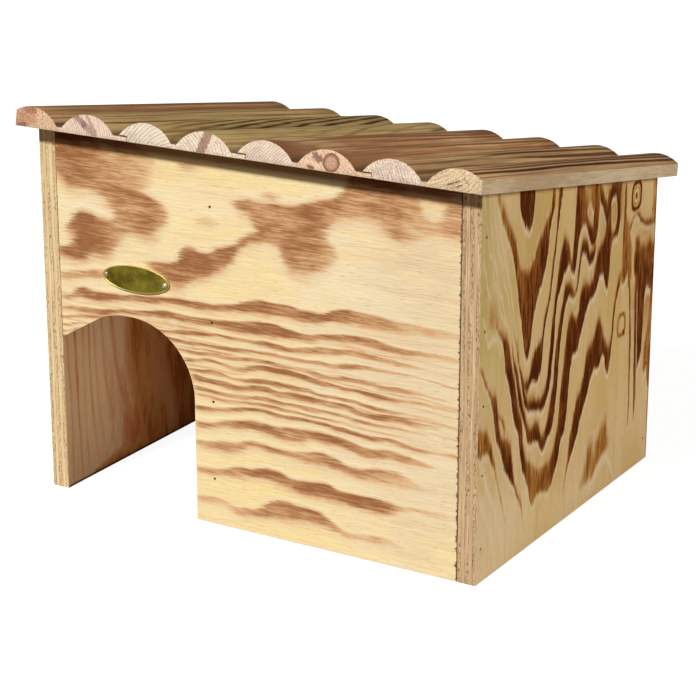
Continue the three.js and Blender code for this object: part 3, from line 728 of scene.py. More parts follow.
# The right wall's figure in the same way; distances run from the front edge to the back
SIDE_RINGS = (
    (4.0, (
        (156, 236, 268, 0.3), (161, 232, 268, 0.5), (169, 238, 268, 0.42), (174, 246, 268, 0.3),
        (179, 238, 268, 0.5), (184, 240, 268, 0.45),
    )),
    (4.0, (
        (235, 166, 217, 0.3), (238, 164, 218, 0.5), (244, 168, 215, 0.55), (249, 172, 206, 0.5),
        (254, 162, 190, 0.35),
    )),
    (3.0, (
        (54, 290, 300, 0), (57, 268, 300, 0.9), (60, 262, 300, 1), (65, 254, 300, 1), (70, 249, 300, 1),
        (74, 247.5, 300, 0.95), (78, 252, 300, 1), (81, 264, 300, 1), (83, 285, 300, 0.6),
    )),
    (3.4, (
        (22, 280, 290, 0.35), (28, 270, 283, 0.45), (34, 260, 272, 0.55), (40, 249, 265, 0.65),
        (47, 238, 254, 0.7), (53, 220, 244, 0.7), (57, 206, 233, 0.65), (60, 192, 223, 0.7),
        (64, 181, 221.5, 0.75), (68, 164, 219, 0.82), (72, 153, 217, 0.88), (75, 150, 218, 0.88),
        (78, 156, 220, 0.85), (82, 178, 225, 0.85), (87, 191, 234, 0.88), (92, 199, 238.5, 0.9),
        (97, 205.5, 243.5, 0.9), (102, 217, 251, 0.9), (106, 235, 251.5, 0.9), (109, 246, 254, 0.9),
        (110.5, 250, 275, 0.7), (113, 255, 275, 0.6),
    )),
    (2.8, (
        (47, 183, 186, 0.3), (53, 172, 176, 0.5), (58, 160, 164, 0.6), (63, 146, 151, 0.7),
        (68, 134, 140, 0.8), (72, 128.5, 134, 0.85), (76, 125, 134, 0.9), (80, 128.5, 141, 1),
        (84, 131, 149.5, 1), (89, 129, 155, 1), (94, 130, 158, 1), (98, 137, 161, 1), (100, 152, 168, 1),
        (103, 168, 179, 0.95), (107, 180, 186, 0.85), (110, 186, 203, 0.9), (113, 201, 219, 0.9),
        (116, 212, 229, 0.9), (118, 224, 246, 0.8), (120, 238, 268, 0.9), (123, 252, 272, 0.95),
        (126, 262, 272, 0.6),
    )),
    (2.8, (
        (57, 166, 171, 0.4), (61, 152, 158, 0.7), (65, 138, 145, 0.85), (69, 125, 134, 0.9),
        (73, 114.5, 125.5, 1), (77, 110.5, 119, 1), (83, 108, 116.5, 1), (90, 107, 115, 1),
        (97, 104.5, 113.5, 1), (102, 103, 115.5, 1), (106, 106, 120, 1), (110, 112, 135, 1),
        (113, 119, 160, 1), (116, 131, 178, 1), (118, 150, 186, 1), (121, 179, 198, 1), (124, 186, 212, 1),
        (128, 193, 222.5, 1), (132, 199, 228, 1), (136, 202, 225, 1), (140, 206, 219.5, 0.9),
        (143, 201, 210.5, 0.8), (146, 198, 208, 0.8), (148, 197, 240, 0.9), (150, 195.5, 265, 1),
        (154, 212, 266, 0.95), (157, 224, 266, 0.75), (163, 230.5, 266, 0.65), (167, 230, 243, 0.8),
        (171, 223, 235, 0.85), (176, 214, 226, 0.9), (180, 210, 224, 0.95), (182, 209, 262, 0.9),
        (187, 213, 262, 0.75), (190, 228, 262, 0.5), (192, 245, 259, 0),
    )),
    (2.6, (
        (49, 168, 172, 0.4), (52, 154, 163, 0.7), (56, 144, 152, 0.85), (60, 129, 146, 0.9),
        (63, 119, 135, 0.95), (67, 111, 121.5, 1), (71, 104, 113, 1), (75, 94, 106, 0.95),
        (79, 85, 99, 0.9), (83, 82, 94, 0.9), (88, 82.5, 97, 0.9), (93, 81.5, 98, 0.95),
        (97, 79, 92.5, 0.95), (101, 72, 84.5, 0.95), (104, 69.5, 82, 0.95), (108, 73.5, 88, 1),
        (112, 79, 96, 1), (116, 80.5, 110, 1), (119, 84, 118, 1), (122, 92, 150, 1), (125, 108, 161, 1),
        (128, 137, 170, 1), (131, 158, 178, 1), (135, 169, 190, 1), (139, 179, 191.5, 1),
        (143, 181, 191, 1), (147, 178, 187.5, 0.95), (151, 176.5, 181.5, 0.8), (154, 178, 184, 0.75),
        (157, 182, 201, 0.9), (160, 199, 212, 0.9), (164, 208, 219.5, 0.95), (168, 207, 219, 0.95),
        (173, 198, 210.5, 0.95), (179, 196, 205, 0.95), (184, 199, 208.5, 0.9), (187, 205, 211, 0.7),
    )),
    (3.2, (
        (24, 187, 191, 0.4), (30, 181, 186, 0.6), (36, 172, 181, 0.85), (40, 152, 177, 0.9),
        (45, 141, 169, 0.95), (50, 130, 153, 1), (54, 113, 142, 1), (58, 104, 130, 1), (62, 97, 117, 1),
        (66, 82, 109, 1), (69, 70, 99.5, 1), (72, 64, 83, 1), (76, 58, 73, 0.9), (80, 50, 70.5, 0.75),
        (84, 40, 67, 0.65), (88, 31.5, 65, 0.5), (93, 35, 60, 0.55), (99, 38, 58, 0.58),
        (106, 36, 57.5, 0.62), (112, 33.5, 57.5, 0.62), (118, 35.5, 61, 0.7), (123, 42, 68, 0.8),
        (127, 48, 77, 0.95), (130, 51, 92, 1), (133, 64, 115, 1), (137, 71, 136, 1), (141, 74, 158, 1),
        (144, 95, 165, 1), (147, 112, 166.5, 1), (150, 131, 162.5, 1), (155, 132.5, 159.5, 1),
        (159, 134, 164, 1), (163, 142, 179, 1), (168, 151, 182.5, 1), (173, 160, 182, 0.95),
        (179, 168, 181.5, 0.95), (184, 168.5, 186, 1), (189, 172, 199, 1), (193, 179, 206, 1),
        (197, 184, 208, 1), (201, 181, 210, 0.95), (204, 176, 222, 0.95), (207, 171, 250, 0.95),
        (211, 167, 240, 0.9), (213, 190, 215, 0.8), (216, 205, 212, 0.8), (221, 207, 214, 0.85),
        (224, 205, 235, 0.85), (227, 212, 250, 0.85), (230, 220, 250, 0.4),
    )),
    (2.6, (
        (189, 250, 258, 0.6), (192, 241, 255, 0.85), (196, 236, 250, 0.9), (200, 229, 243, 0.95),
        (204, 222, 240, 1), (208, 226, 243, 0.95), (212, 238, 252, 0.9), (218, 241, 252, 0.9),
        (223, 228, 251, 0.9), (227, 215, 250, 0.9), (230, 225, 249, 0.3),
    )),
    (3.4, (
        (136, 2, 6, 0.25), (139, 14, 18, 0.3), (142, 24, 29, 0.35), (145, 34, 40, 0.4), (148, 41, 52, 0.75),
        (151, 46, 66, 0.9), (155, 52, 78, 0.95), (159, 57, 90, 1), (164, 65, 96, 1), (169, 76, 101, 1),
        (173, 82, 112, 1), (177, 88, 127, 1), (182, 97, 131, 1), (187, 107, 134.5, 0.95),
        (192, 109, 142, 0.95), (197, 107.5, 149, 0.95), (201, 111, 142, 0.9), (205, 116, 134, 0.9),
        (209, 112, 128, 0.9), (212, 101, 124, 0.9), (215, 97.5, 122, 0.85), (219, 106, 124, 0.85),
        (222, 118, 148, 0.8), (225, 142, 160, 0.75), (229, 157, 170, 0.75), (232, 163, 175, 0.6),
        (235, 168, 178, 0.3),
    )),
    (7.0, (
        (169, 14, 24, 0.1), (174, 14, 32, 0.25), (180, 17, 42, 0.4), (186, 18, 48, 0.5),
        (192, 17, 47, 0.52), (197, 20, 46, 0.46), (202, 26, 52, 0.46), (208, 29, 58, 0.5),
        (213, 31, 60, 0.5), (218, 33, 54, 0.4), (224, 32, 44, 0.25),
    )),
    (3.0, (
        (0, 164, 168, 0.3), (6, 157, 162, 0.5), (12, 146, 152, 0.6), (18, 136, 143, 0.7),
        (22, 127, 139, 0.75), (26, 110, 136, 0.8), (29, 102, 127, 0.85), (32, 97, 110, 0.85),
        (36, 90, 103, 0.9), (40, 79, 101, 0.95), (45, 72, 99, 0.95), (50, 66, 94, 0.95), (54, 61, 80, 0.9),
        (58, 57, 64.5, 0.8), (62, 47, 55, 0.6), (66, 41.5, 46, 0.5), (70, 37, 41.5, 0.45),
        (73, 25, 32, 0.35), (76, 14, 20, 0.2),
    )),
    (2.4, (
        (29, 119, 123, 0.4), (35, 115, 119, 0.5), (39, 108, 117, 0.55), (43, 98, 108, 0.5),
        (46, 94, 100, 0),
    )),
    (4.0, (
        (0, 99, 126, 0.5), (5, 97, 118, 0.6), (10, 98, 115.5, 0.65), (15, 98, 112, 0.6),
        (20, 89, 104, 0.65), (25, 82, 92, 0.5), (30, 70, 78, 0.35), (35, 56, 64, 0.3), (40, 44, 52, 0.25),
        (45, 33, 38, 0.2),
    )),
    (8.0, (
        (8, 196, 203, 0.1), (16, 190, 212, 0.25), (23, 186, 210, 0.3), (30, 186, 200, 0.2),
    )),
    (1.8, (
        (234, 178, 190, 0), (236, 182, 247, 0.8), (238.5, 200, 247, 0.85), (241, 200, 208, 0.4),
    )),
    (3.0, (
        (239, 182, 203, 0.5), (244, 184, 207, 0.6), (247, 186, 208, 0.5), (249, 190, 204, 0),
    )),
    (2.6, (
        (244, 180, 200, 0.5), (247, 168, 186, 0.6), (250, 156, 172, 0.65), (253, 138, 160, 0.7),
        (255.5, 100, 140, 0.7), (257.5, 44, 122, 0.65), (259.5, 34, 96, 0.45), (261, 60, 80, 0),
    )),
    (2.6, (
        (261.5, 140, 170, 0.5), (264, 118, 168, 0.8), (266, 80, 150, 0.8), (268.5, 46, 130, 0.7),
        (270.5, 40, 84, 0.45), (272, 56, 76, 0),
    )),
    (4.5, (
        (256, 185, 192, 0), (259, 165, 197, 0.8), (262, 166, 199, 0.85), (265, 152, 197.5, 0.8),
        (268, 150, 193, 0.85), (272, 84, 188.5, 0.9), (275, 90, 187, 0.95), (278, 92, 186.5, 0.95),
        (281, 140, 187, 0.9), (285, 150, 188, 0.85), (288, 150, 189, 0.85), (292, 148, 188, 0.8),
        (298, 140, 186, 0.8),
    )),
    (5.0, (
        (284, 78, 102, 0.4), (287, 78, 108, 0.6), (290, 82, 115, 0.5), (293, 66, 150, 0.5),
        (298, 60, 150, 0.7),
    )),
    (2.0, (
        (247, 204, 207, 0.6), (251, 207, 212, 0.7), (255, 212, 215.5, 0.7), (259, 215.5, 218.5, 0.7),
        (263, 214, 217.5, 0.7), (268, 208, 213, 0.75), (273, 205, 209.5, 0.75), (280, 202, 207, 0.75),
        (287, 201, 206, 0.75), (298, 200, 205, 0.7),
    )),
    # The next two rings are painted shade, not burnt wood: they darken the strip along the rear edge, which
    # lies in shadow
    (6.0, (
        (290, 205, 240, 0.2), (298, 205, 240, 0.5),
    )),
    (1.0, (
        (294.5, 0, 290, 0), (296.6, 0, 290, 0.85), (298, 0, 290, 1),
    )),
    (1.8, (
        (10, 291, 291, -0.5), (13, 268, 268, -0.7), (16, 258, 258, -0.7), (19, 240, 240, -0.7),
        (24, 231, 231, -0.7), (28, 214, 214, -0.7), (34, 206, 206, -0.7), (38, 190, 190, -0.6),
        (44, 181, 181, -0.6), (50, 164, 164, -0.4),
    )),
    (1.4, (
        (2, 290, 290, -0.4), (6, 270, 270, -0.6), (9, 262, 262, -0.6), (12, 247, 247, -0.7),
        (17, 240, 240, -0.6), (20, 224, 224, -0.6), (26, 215, 215, -0.6), (31, 197, 197, -0.6),
        (37, 189, 189, -0.5), (42, 174, 174, -0.4),
    )),
    (1.4, (
        (15, 290, 290, -0.4), (18, 272, 272, -0.6), (23, 259, 259, -0.6), (26, 244, 244, -0.6),
        (31, 236, 236, -0.6), (35, 219, 219, -0.6), (41, 208, 208, -0.6), (46, 190, 190, -0.5),
        (52, 178, 178, -0.4),
    )),
    (2.0, (
        (3, 240, 240, -0.4), (10, 222, 222, -0.7), (20, 206, 206, -0.7), (30, 190, 190, -0.6),
        (38, 180, 180, -0.5),
    )),
    (2.2, (
        (20, 291, 291, -0.5), (27, 262, 262, -0.6), (36, 236, 236, -0.6), (44, 214, 214, -0.6),
        (52, 190, 190, -0.5), (57, 172, 172, -0.3),
    )),
    (1.6, (
        (3, 200, 200, -0.4), (9, 188, 188, -0.8), (14, 178, 178, -0.8), (22, 181, 181, -0.8),
        (28, 176, 176, -0.6), (33, 166, 166, -0.4),
    )),
    (3.0, (
        (4, 88, 88, -0.4), (14, 72, 72, -0.7), (26, 52, 52, -0.7), (38, 24, 24, -0.7), (44, 6, 6, -0.5),
    )),
    (3.4, (
        (2, 66, 66, -0.4), (12, 50, 50, -0.6), (24, 28, 28, -0.6), (32, 6, 6, -0.5),
    )),
    (2.6, (
        (184, 6, 6, -0.4), (192, 14, 14, -0.7), (204, 24, 24, -0.8), (214, 30, 30, -0.8),
        (222, 24, 24, -0.8), (230, 12, 12, -0.7), (236, 3, 3, -0.4),
    )),
)
# Its knots: their middle, their half sizes, and their lines as (share, width, depth)
SIDE_KNOTS = (
    (258.5, 231, 8.6, 11.0, ((0.0, 0.4, 1.0), (0.95, 0.3, 1.0), (0.6, 0.12, 0.5))),
    (238.6, 131, 8.4, 10.5, ((0.8, 0.34, 0.55),)),
    (243.2, 123.5, 4.2, 4.6, ((0.0, 1.0, 0.9),)),
    (231.4, 130, 2.2, 7.5, ((0.0, 1.0, 0.6),)),
)

# The inside of the left wall beside the entrance: here each line is drawn upwards, as
# millimetres from the ground, and its edges' distances from the front
INNER_LEFT_RINGS = (
    (1.4, (
        (0, 6, 8, 0.3), (60, 7, 9, 0.45), (100, 5, 7, 0.45), (160, 3, 5, 0.45), (290, 4, 6, 0.4),
    )),
    (1.6, (
        (0, 18, 21, 0.3), (40, 16.5, 18.5, 0.5), (80, 15, 17.5, 0.6), (120, 14, 16.5, 0.6),
        (290, 12, 15, 0.5),
    )),
    (1.5, (
        (0, 27, 30, 0.2), (40, 25, 27, 0.35), (90, 24, 26, 0.45), (160, 24, 27, 0.45), (290, 22, 26, 0.4),
    )),
    (1.5, (
        (0, 40, 44, 0.15), (50, 34, 37, 0.35), (100, 32, 34, 0.45), (160, 31, 34, 0.45), (290, 31, 35, 0.4),
    )),
    (1.7, (
        (20, 46, 50, 0.15), (60, 41, 44, 0.35), (110, 39, 41.5, 0.45), (160, 38, 41, 0.45),
        (290, 40, 43, 0.4),
    )),
    (2.4, (
        (40, 56, 62, 0.25), (80, 51, 55, 0.4), (110, 49, 52, 0.5), (160, 48, 51, 0.45), (290, 50, 54, 0.4),
    )),
    (3.0, (
        (20, 90, 100, 0.15), (45, 76, 86, 0.35), (70, 68, 74, 0.45), (100, 63, 68, 0.5), (130, 60, 65, 0.5),
        (290, 61, 67, 0.4),
    )),
    (9.0, (
        (0, 106, 145, 0.75), (20, 98, 140, 0.75), (50, 90, 124, 0.6), (80, 84, 118, 0.7),
        (100, 82, 116, 0.8), (115, 83, 102, 0.85), (130, 86, 97, 0.85), (160, 88, 95, 0.7),
        (200, 90, 93, 0.3),
    )),
    (14.0, (
        (0, 146, 200, 0.9), (60, 136, 190, 0.85), (100, 118, 170, 0.8), (120, 112, 150, 0.7),
        (135, 110, 130, 0.5),
    )),
    # The last ring darkens the foot of the wall, the more so towards the back
    (9.0, (
        (0, 28, 200, 0.9), (6, 44, 200, 0.6), (12, 66, 200, 0.3), (20, 96, 200, 0.12),
    )),
)

wall_half_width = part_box("right_side_wall")[1].x
ply = wall_half_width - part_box("right_side_wall")[0].x
front_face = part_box("front_wall")[0].y
rear_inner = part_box("back_wall")[0].y
partition_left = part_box("partition_wall")[0].x
EDGE_BEVEL = 0.45 * MM
SHORTEST_BEVELLED_EDGE = 1.5 * MM
SAME_POINT = 0.001 * MM
SAME_FACE = math.radians(1)
SHARP = math.radians(25)
FACING = 0.95


def placed(name, data):
    """A new object of that data, in the scene."""
    made = bpy.data.objects.new(name, data)
    bpy.context.scene.collection.objects.link(made)
    return made


def eased(node, body, finishes, choose):
    """A CAD solid with its long edges eased, standing for it on the same body. choose gives each
    face, by its normal, one of the finishes."""
    shape = bmesh.new()
    shape.from_mesh(nodes[node].data)
    bmesh.ops.remove_doubles(shape, verts=shape.verts, dist=SAME_POINT)
    bmesh.ops.dissolve_limit(shape, angle_limit=SAME_FACE, verts=shape.verts, edges=shape.edges)
    sharp = [
        line for line in shape.edges
        if len(line.link_faces) == 2
        and line.calc_face_angle() > SHARP
        and line.calc_length() > SHORTEST_BEVELLED_EDGE
    ]
    bmesh.ops.bevel(
        shape, geom=sharp, offset=EDGE_BEVEL, segments=2, profile=0.6, affect="EDGES",
        clamp_overlap=False,
    )
    for face in shape.faces:
        face.material_index = choose(face.normal)
    mesh = bpy.data.meshes.new(node + "_wood")
    shape.to_mesh(mesh)
    shape.free()
    for material in finishes:
        mesh.materials.append(material)
    piece = placed(node + "_wood", mesh)
    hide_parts(node)
    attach(piece, body)


def wall(node, across, sign, finishes):
    """One plywood panel: its outer face, its inner face and its sawn edges. across is the axis
    through its thickness and sign the side on which its outer face lies."""
    axis = "xyz".index(across)

    def choose(normal):
        lean = normal[axis] * sign
        return 0 if lean > FACING else 1 if lean < -FACING else 2

    eased(node, "house", finishes, choose)


left_start = -wall_half_width / MM
front_start = front_face / MM
front_veneer = veneer(
    "front veneer", "front", ("x", "level"), 3.0, FRONT_RINGS, 380.0, left_start, lean=0.3,
    fades=(0.2, 0.0), glows=(3.6, 1.8), strength=1.09, painted_shade_height=284.0, pull=0.015, haze=0.15, halo=0.7,
    spread=0.35, combed=1.8, fine_lines=(98, 168, 0.31), chipped=365.2,
    mottle=(
        ((330, 150), (150, 190), rgb(247, 227, 191), 0.9),
        ((345, 150), (70, 190), rgb(230, 204, 160), 0.5),
        ((60, 235), (60, 14), rgb(254, 238, 206), 0.6),
        ((170, 255), (70, 20), rgb(254, 234, 196), 0.6),
    ),
)
inner_level_veneer = veneer(
    "inner veneer, level", "inner", ("x", "level"), 11.0, figure=9.0, start=left_start,
)
rear_veneer = veneer("rear veneer", "plain", ("x", "level"), 23.0, figure=13.0, start=left_start)
side_veneer = veneer(
    "right veneer", "side", ("y", "up"), 7.0, SIDE_RINGS, 300.0, front_start, lean=-0.4,
    fades=(0.0, 0.16), glows=(0.5, 3.6), pull=0.01, knots=SIDE_KNOTS, haze=0.1, halo=1.0,
    mottle=(
        ((0, 230), (45, 120), rgb(211, 187, 113), 0.9),
        ((20, 170), (34, 50), rgb(222, 200, 122), 0.6),
        ((30, 20), (90, 60), rgb(250, 222, 174), 0.9),
        ((240, 30), (120, 60), rgb(236, 202, 144), 0.5),
        ((80, 250), (34, 50), rgb(220, 184, 110), 0.8),
        ((200, 190), (60, 60), rgb(222, 190, 122), 0.6),
        ((205, 226), (14, 34), rgb(196, 176, 122), 0.7),
        ((170, 250), (26, 30), rgb(182, 114, 56), 0.75),
        ((225, 240), (24, 30), rgb(190, 124, 64), 0.5),
        ((278, 150), (26, 70), rgb(184, 108, 52), 0.7),
        ((100, 10), (120, 26), rgb(248, 214, 152), 0.7),
        ((60, 230), (30, 70), rgb(224, 190, 122), 0.4),
    ),
)
left_veneer = veneer("left veneer", "side", ("y", "up"), 31.0, figure=12.0, start=front_start)
inner_upright_veneer = veneer(
    "inner veneer, upright", "inner", ("y", "up"), 17.0, figure=10.0, start=front_start,
)
inner_left_veneer = veneer(
    "inner veneer, left wall", "inner", ("y", "up"), 29.0, INNER_LEFT_RINGS, 300.0, front_start,
    glows=(1.5, 2.5), strength=0.65, pull=0.004, haze=0.1, drawn_upright=True, combed=0.55, painted_contact_shade=2.6,
    mottle=(((125, 40), (75, 130), rgb(196, 100, 38), 0.9),),
)

wall("front_wall", "y", -1, (
    front_veneer, inner_level_veneer,
    ply_edge("front wall edge", "y", front_face, ply, 1.0),
))
wall("back_wall", "y", 1, (
    rear_veneer, inner_level_veneer,
    ply_edge("back wall edge", "y", rear_inner, ply, 2.0),
))
wall("right_side_wall", "x", 1, (
    side_veneer, inner_upright_veneer,
    ply_edge("right wall edge", "x", wall_half_width - ply, ply, 5.0, rgb(244, 212, 166), rgb(188, 154, 114)),
))
wall("left_side_wall", "x", -1, (
    left_veneer, inner_left_veneer,
    ply_edge("left wall edge", "x", -wall_half_width, ply, 7.0, rgb(255, 234, 188), rgb(226, 190, 136)),
))
wall("partition_wall", "x", -1, (
    inner_upright_veneer, inner_upright_veneer,
    ply_edge("partition edge", "x", partition_left, ply, 9.0),
))


# The nails: wire nails driven through the walls' faces into the edges of the panels that they
# meet. Their small round heads have been set a little below the wood and have darkened.

STEEL_PITS = 0.04 * MM


def dark_steel(name, dark, light):
    """Plain steel with dull spots, between a dark and a light tone."""
    material, bench, shader = finish(name)
    place = bench.node("TexCoord").outputs["Object"]
    spots = bench.noise(place, 1800.0, 3.0, 0.6)
    bench.feed(shader.inputs["Base Color"], bench.ramp(spots, (0.35, dark), (0.65, light)))
    bench.feed(shader.inputs["Metallic"], bench.rise(spots, 0.3, 0.5, 0.55, 0.95))
    bench.feed(shader.inputs["Roughness"], bench.rise(spots, 0.3, 0.7, 0.62, 0.36))
    relief(bench, shader, spots, STEEL_PITS)
    return material


def coat(word, material):
    """Gives the material to each CAD solid that has the word in its name."""
    for name, node in nodes.items():
        if word in name:
            node.data.materials.clear()
            node.data.materials.append(material)


coat("nail", dark_steel("nail steel", rgb(26, 20, 16), rgb(78, 66, 54)))


# The name plate: a small oval of stamped brass over the entrance, tarnished to an olive gold. Its
# rim is raised and painted a lighter brass as a highlight, and two round-headed pins hold it.

SMOOTH_UNDER = math.radians(35)


def turned(name, profile, segments, place, material):
    """A closed solid of revolution: profile is its radii (across, up) and distances outward, and
    place sets each point (across, out, up) in the frame."""
    points, faces = [], []
    for across, up, out in profile:
        for step in range(segments):
            angle = 2 * math.pi * step / segments
            points.append(place(across * math.cos(angle), out, up * math.sin(angle)))
    for ring in range(len(profile) - 1):
        for step in range(segments):
            following = (step + 1) % segments
            a, b = ring * segments, (ring + 1) * segments
            faces.append((a + step, a + following, b + following, b + step))
    for ring, flip in ((0, True), (len(profile) - 1, False)):
        loop = [ring * segments + step for step in range(segments)]
        faces.append(tuple(reversed(loop)) if flip else tuple(loop))
    mesh = bpy.data.meshes.new(name)
    mesh.from_pydata(points, [], faces)
    mesh.materials.append(material)
    mesh.shade_smooth()
    mesh.set_sharp_from_angle(angle=SMOOTH_UNDER)
    return placed(name, mesh)


BRASS_SPECKS = 0.02 * MM


def tarnished_brass(name, dark, light, shine, wear, rim=None):
    """Brass gone dull in clouds. rim is the middle of an oval plate and its half sizes; a band just
    inside its outline is painted a lighter brass as a highlight."""
    material, bench, shader = finish(name)
    place = bench.node("TexCoord").outputs["Object"]
    clouds = bench.noise(place, 90.0, 4.0, 0.6)
    specks = bench.noise(place, 1500.0, 3.0, 0.6)
    mix = bench.plus(bench.times(clouds, 0.75), bench.times(specks, 0.25))
    colour = bench.ramp(mix, (0.38, dark), (0.62, light))
    if rim is not None:
        centre, half_length, half_height = rim
        across, _, up = bench.unpack(bench.vector("SUBTRACT", place, tuple(centre)))
        scaled = bench.pack(bench.over(across, half_length), bench.over(up, half_height), 0.0)
        # Painted highlight: a band just inside the plate's outline is blended to a light brass
        rim_highlight = bench.rise(bench.measure("LENGTH", scaled), 0.9, 0.95)
        colour = bench.blend(rim_highlight, colour, rgb(222, 198, 118))
    bench.feed(shader.inputs["Base Color"], colour)
    shader.inputs["Metallic"].default_value = 0.6
    bench.feed(shader.inputs["Roughness"], bench.rise(mix, 0.3, 0.7, shine + wear, shine))
    relief(bench, shader, specks, BRASS_SPECKS)
    return material


plate_low, plate_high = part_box("name_plate")
plate_centre = (plate_low + plate_high) / 2
PLATE_TILT = math.radians(-0.8)
PLATE_HALF_LENGTH = 31.0 * MM
PLATE_HALF_HEIGHT = 10.75 * MM
PLATE_SEGMENTS = 96
plate_brass = tarnished_brass(
    "plate brass", rgb(112, 98, 20), rgb(184, 168, 62), 0.34, 0.12,
    rim=(plate_centre, PLATE_HALF_LENGTH, PLATE_HALF_HEIGHT),
)
pin_brass = tarnished_brass("pin brass", rgb(182, 164, 112), rgb(240, 226, 184), 0.2, 0.1)

# From the plate's back to the middle of its face: millimetres in from its outline, and its height
PLATE_PROFILE = (
    (0.15, 0.0), (0.0, 0.12), (0.0, 0.5), (0.12, 0.74), (0.35, 0.87), (0.62, 0.9), (0.9, 0.84),
    (1.15, 0.68), (1.4, 0.58), (1.9, 0.56), (3.5, 0.62), (6.0, 0.7), (8.5, 0.75), (10.4, 0.77),
)


def on_plate(across, out, up):
    """A place on the plate, which hangs a little out of level."""
    turn_cos, turn_sin = math.cos(PLATE_TILT), math.sin(PLATE_TILT)
    return (
        plate_centre.x + across * turn_cos + up * turn_sin,
        plate_high.y - out,
        plate_centre.z - across * turn_sin + up * turn_cos,
    )


plate_rows = [
    (PLATE_HALF_LENGTH - inset * MM, PLATE_HALF_HEIGHT - inset * MM, out * MM)
    for inset, out in PLATE_PROFILE
]
name_plate = turned("brass_plate", plate_rows, PLATE_SEGMENTS, on_plate, plate_brass)
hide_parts("name_plate")
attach(name_plate, "house")

PIN_SEGMENTS = 28
PIN_HEAD_HEIGHT = 1.3 * MM
PIN_SHANK = 0.6 * MM
PIN_POINT = 0.1 * MM
PIN_TAPER = 1.5 * MM
DOME_DEGREES = (6, 20, 36, 52, 68, 80, 90)
for side in ("left", "right"):
    low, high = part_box("plate_pin_" + side)
    middle = (low + high) / 2
    head = (high.x - low.x) / 2
    depth = high.y - low.y

    def on_pin(across, out, up, middle=middle, low=low):
        return middle.x + across, low.y + out, middle.z + up

    dome = [
        (head * math.sin(angle), PIN_HEAD_HEIGHT * (1 - math.cos(angle)))
        for angle in map(math.radians, DOME_DEGREES)
    ]
    outline = dome + [(PIN_SHANK, PIN_HEAD_HEIGHT), (PIN_SHANK, depth - PIN_TAPER), (PIN_POINT, depth)]
    rows = [(radius, radius, out) for radius, out in reversed(outline)]
    pin = turned("pin_" + side, rows, PIN_SEGMENTS, on_pin, pin_brass)
    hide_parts("plate_pin_" + side)
    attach(pin, "house")


# The roof boards: four softwood boards planed to two half-round crowns each and lapped one over
# the next. Their tops are stained brown by the preservative; their sawn front ends show the bare
# growth rings.

# The boards' sizes are in millimetres. An end is eased in steps of (distance from it, inset)
ROOF_SLOPE = math.radians(10.3)
CROWN_HEIGHT = 16.0
WEB = 3.7
VALLEY = 4.4
LAP = 8.0
GAP = 0.3
LIP_EDGE = 0.4
END_EASE = ((0.0, 0.45), (0.12, 0.16), (0.45, 0.0))
LENGTH_STEPS = 8
SMOOTH_CROWN_UNDER = math.radians(30)
HALF_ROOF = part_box("roof_board_4")[1].x / MM
LEFT_CREST_INSET = 15.0
RIGHT_CREST_INSET = 18.0
BOARDS = 4
CROWNS = 8
first_crest = -HALF_ROOF + LEFT_CREST_INSET
pitch = (2 * HALF_ROOF - LEFT_CREST_INSET - RIGHT_CREST_INSET) / (CROWNS - 1)
crown_half = (pitch - VALLEY) / 2
crown_rise = CROWN_HEIGHT - WEB
crown_radius = (crown_half ** 2 + crown_rise ** 2) / (2 * crown_rise)
crown_centre = CROWN_HEIGHT - crown_radius

to_roof = Matrix.Rotation(ROOF_SLOPE, 3, "X")
board_points = [to_roof @ vertex.co for vertex in nodes["roof_board_1"].data.vertices]
roof_base = min(point.z for point in board_points)
front_end = min(point.y for point in board_points)
rear_end = max(point.y for point in board_points)
from_roof = to_roof.inverted()


def roof_place(bench):
    """Coordinates that lie with the roof: across it, down its slope and square to it."""
    place = bench.node("TexCoord").outputs["Object"]
    laid = bench.node("Mapping", {"Vector": place})
    laid.inputs["Location"].default_value = (0.0, -front_end, -roof_base)
    laid.inputs["Rotation"].default_value = (ROOF_SLOPE, 0.0, 0.0)
    return bench.unpack(laid.outputs[0])


def crown_arc(crest, left, right, steps=30):
    """Points over one crown, from left to right of its crest."""
    start = math.asin(left / crown_radius)
    stop = math.asin(right / crown_radius)
    angles = [start + (stop - start) * step / steps for step in range(steps + 1)]
    return [
        (crest + crown_radius * math.sin(angle), crown_centre + crown_radius * math.cos(angle))
        for angle in angles
    ]


def board_outline(index):
    """A board's top and underside from left to right, and where its crowns part."""
    is_first, is_last = index == 0, index == BOARDS - 1
    crests = [first_crest + (2 * index + crown) * pitch for crown in (0, 1)]
    lip = WEB + GAP
    step = crests[0] - crown_half + LAP + GAP
    tongue = crests[1] + crown_half + VALLEY + LAP
    lip_reach = math.sqrt(crown_radius ** 2 - (lip - crown_centre) ** 2)
    part = (crests[0] + crests[1]) / 2
    first_reach = -LEFT_CREST_INSET if is_first else -lip_reach
    last_reach = RIGHT_CREST_INSET if is_last else crown_half
    top = crown_arc(crests[0], first_reach, crown_half) + [(part, WEB)]
    top += crown_arc(crests[1], -crown_half, last_reach)
    if not is_last:
        top.append((tongue, WEB))
    if is_first:
        under = [(-HALF_ROOF, 0.0)]
    else:
        under = [(top[0][0] + LIP_EDGE, lip), (step, lip), (step, 0.0)]
    under += [(part, 0.0), (HALF_ROOF if is_last else tongue, 0.0)]
    return top, under, part


def inset_loop(loop, inset):
    """The closed outline drawn in by inset, each point along its own corner."""
    if not inset:
        return loop
    drawn = []
    for index, (x, height) in enumerate(loop):
        before, following = loop[index - 1], loop[(index + 1) % len(loop)]
        run = Vector((following[0] - before[0], following[1] - before[1])).normalized()
        drawn.append((x - run.y * inset, height + run.x * inset))
    return drawn


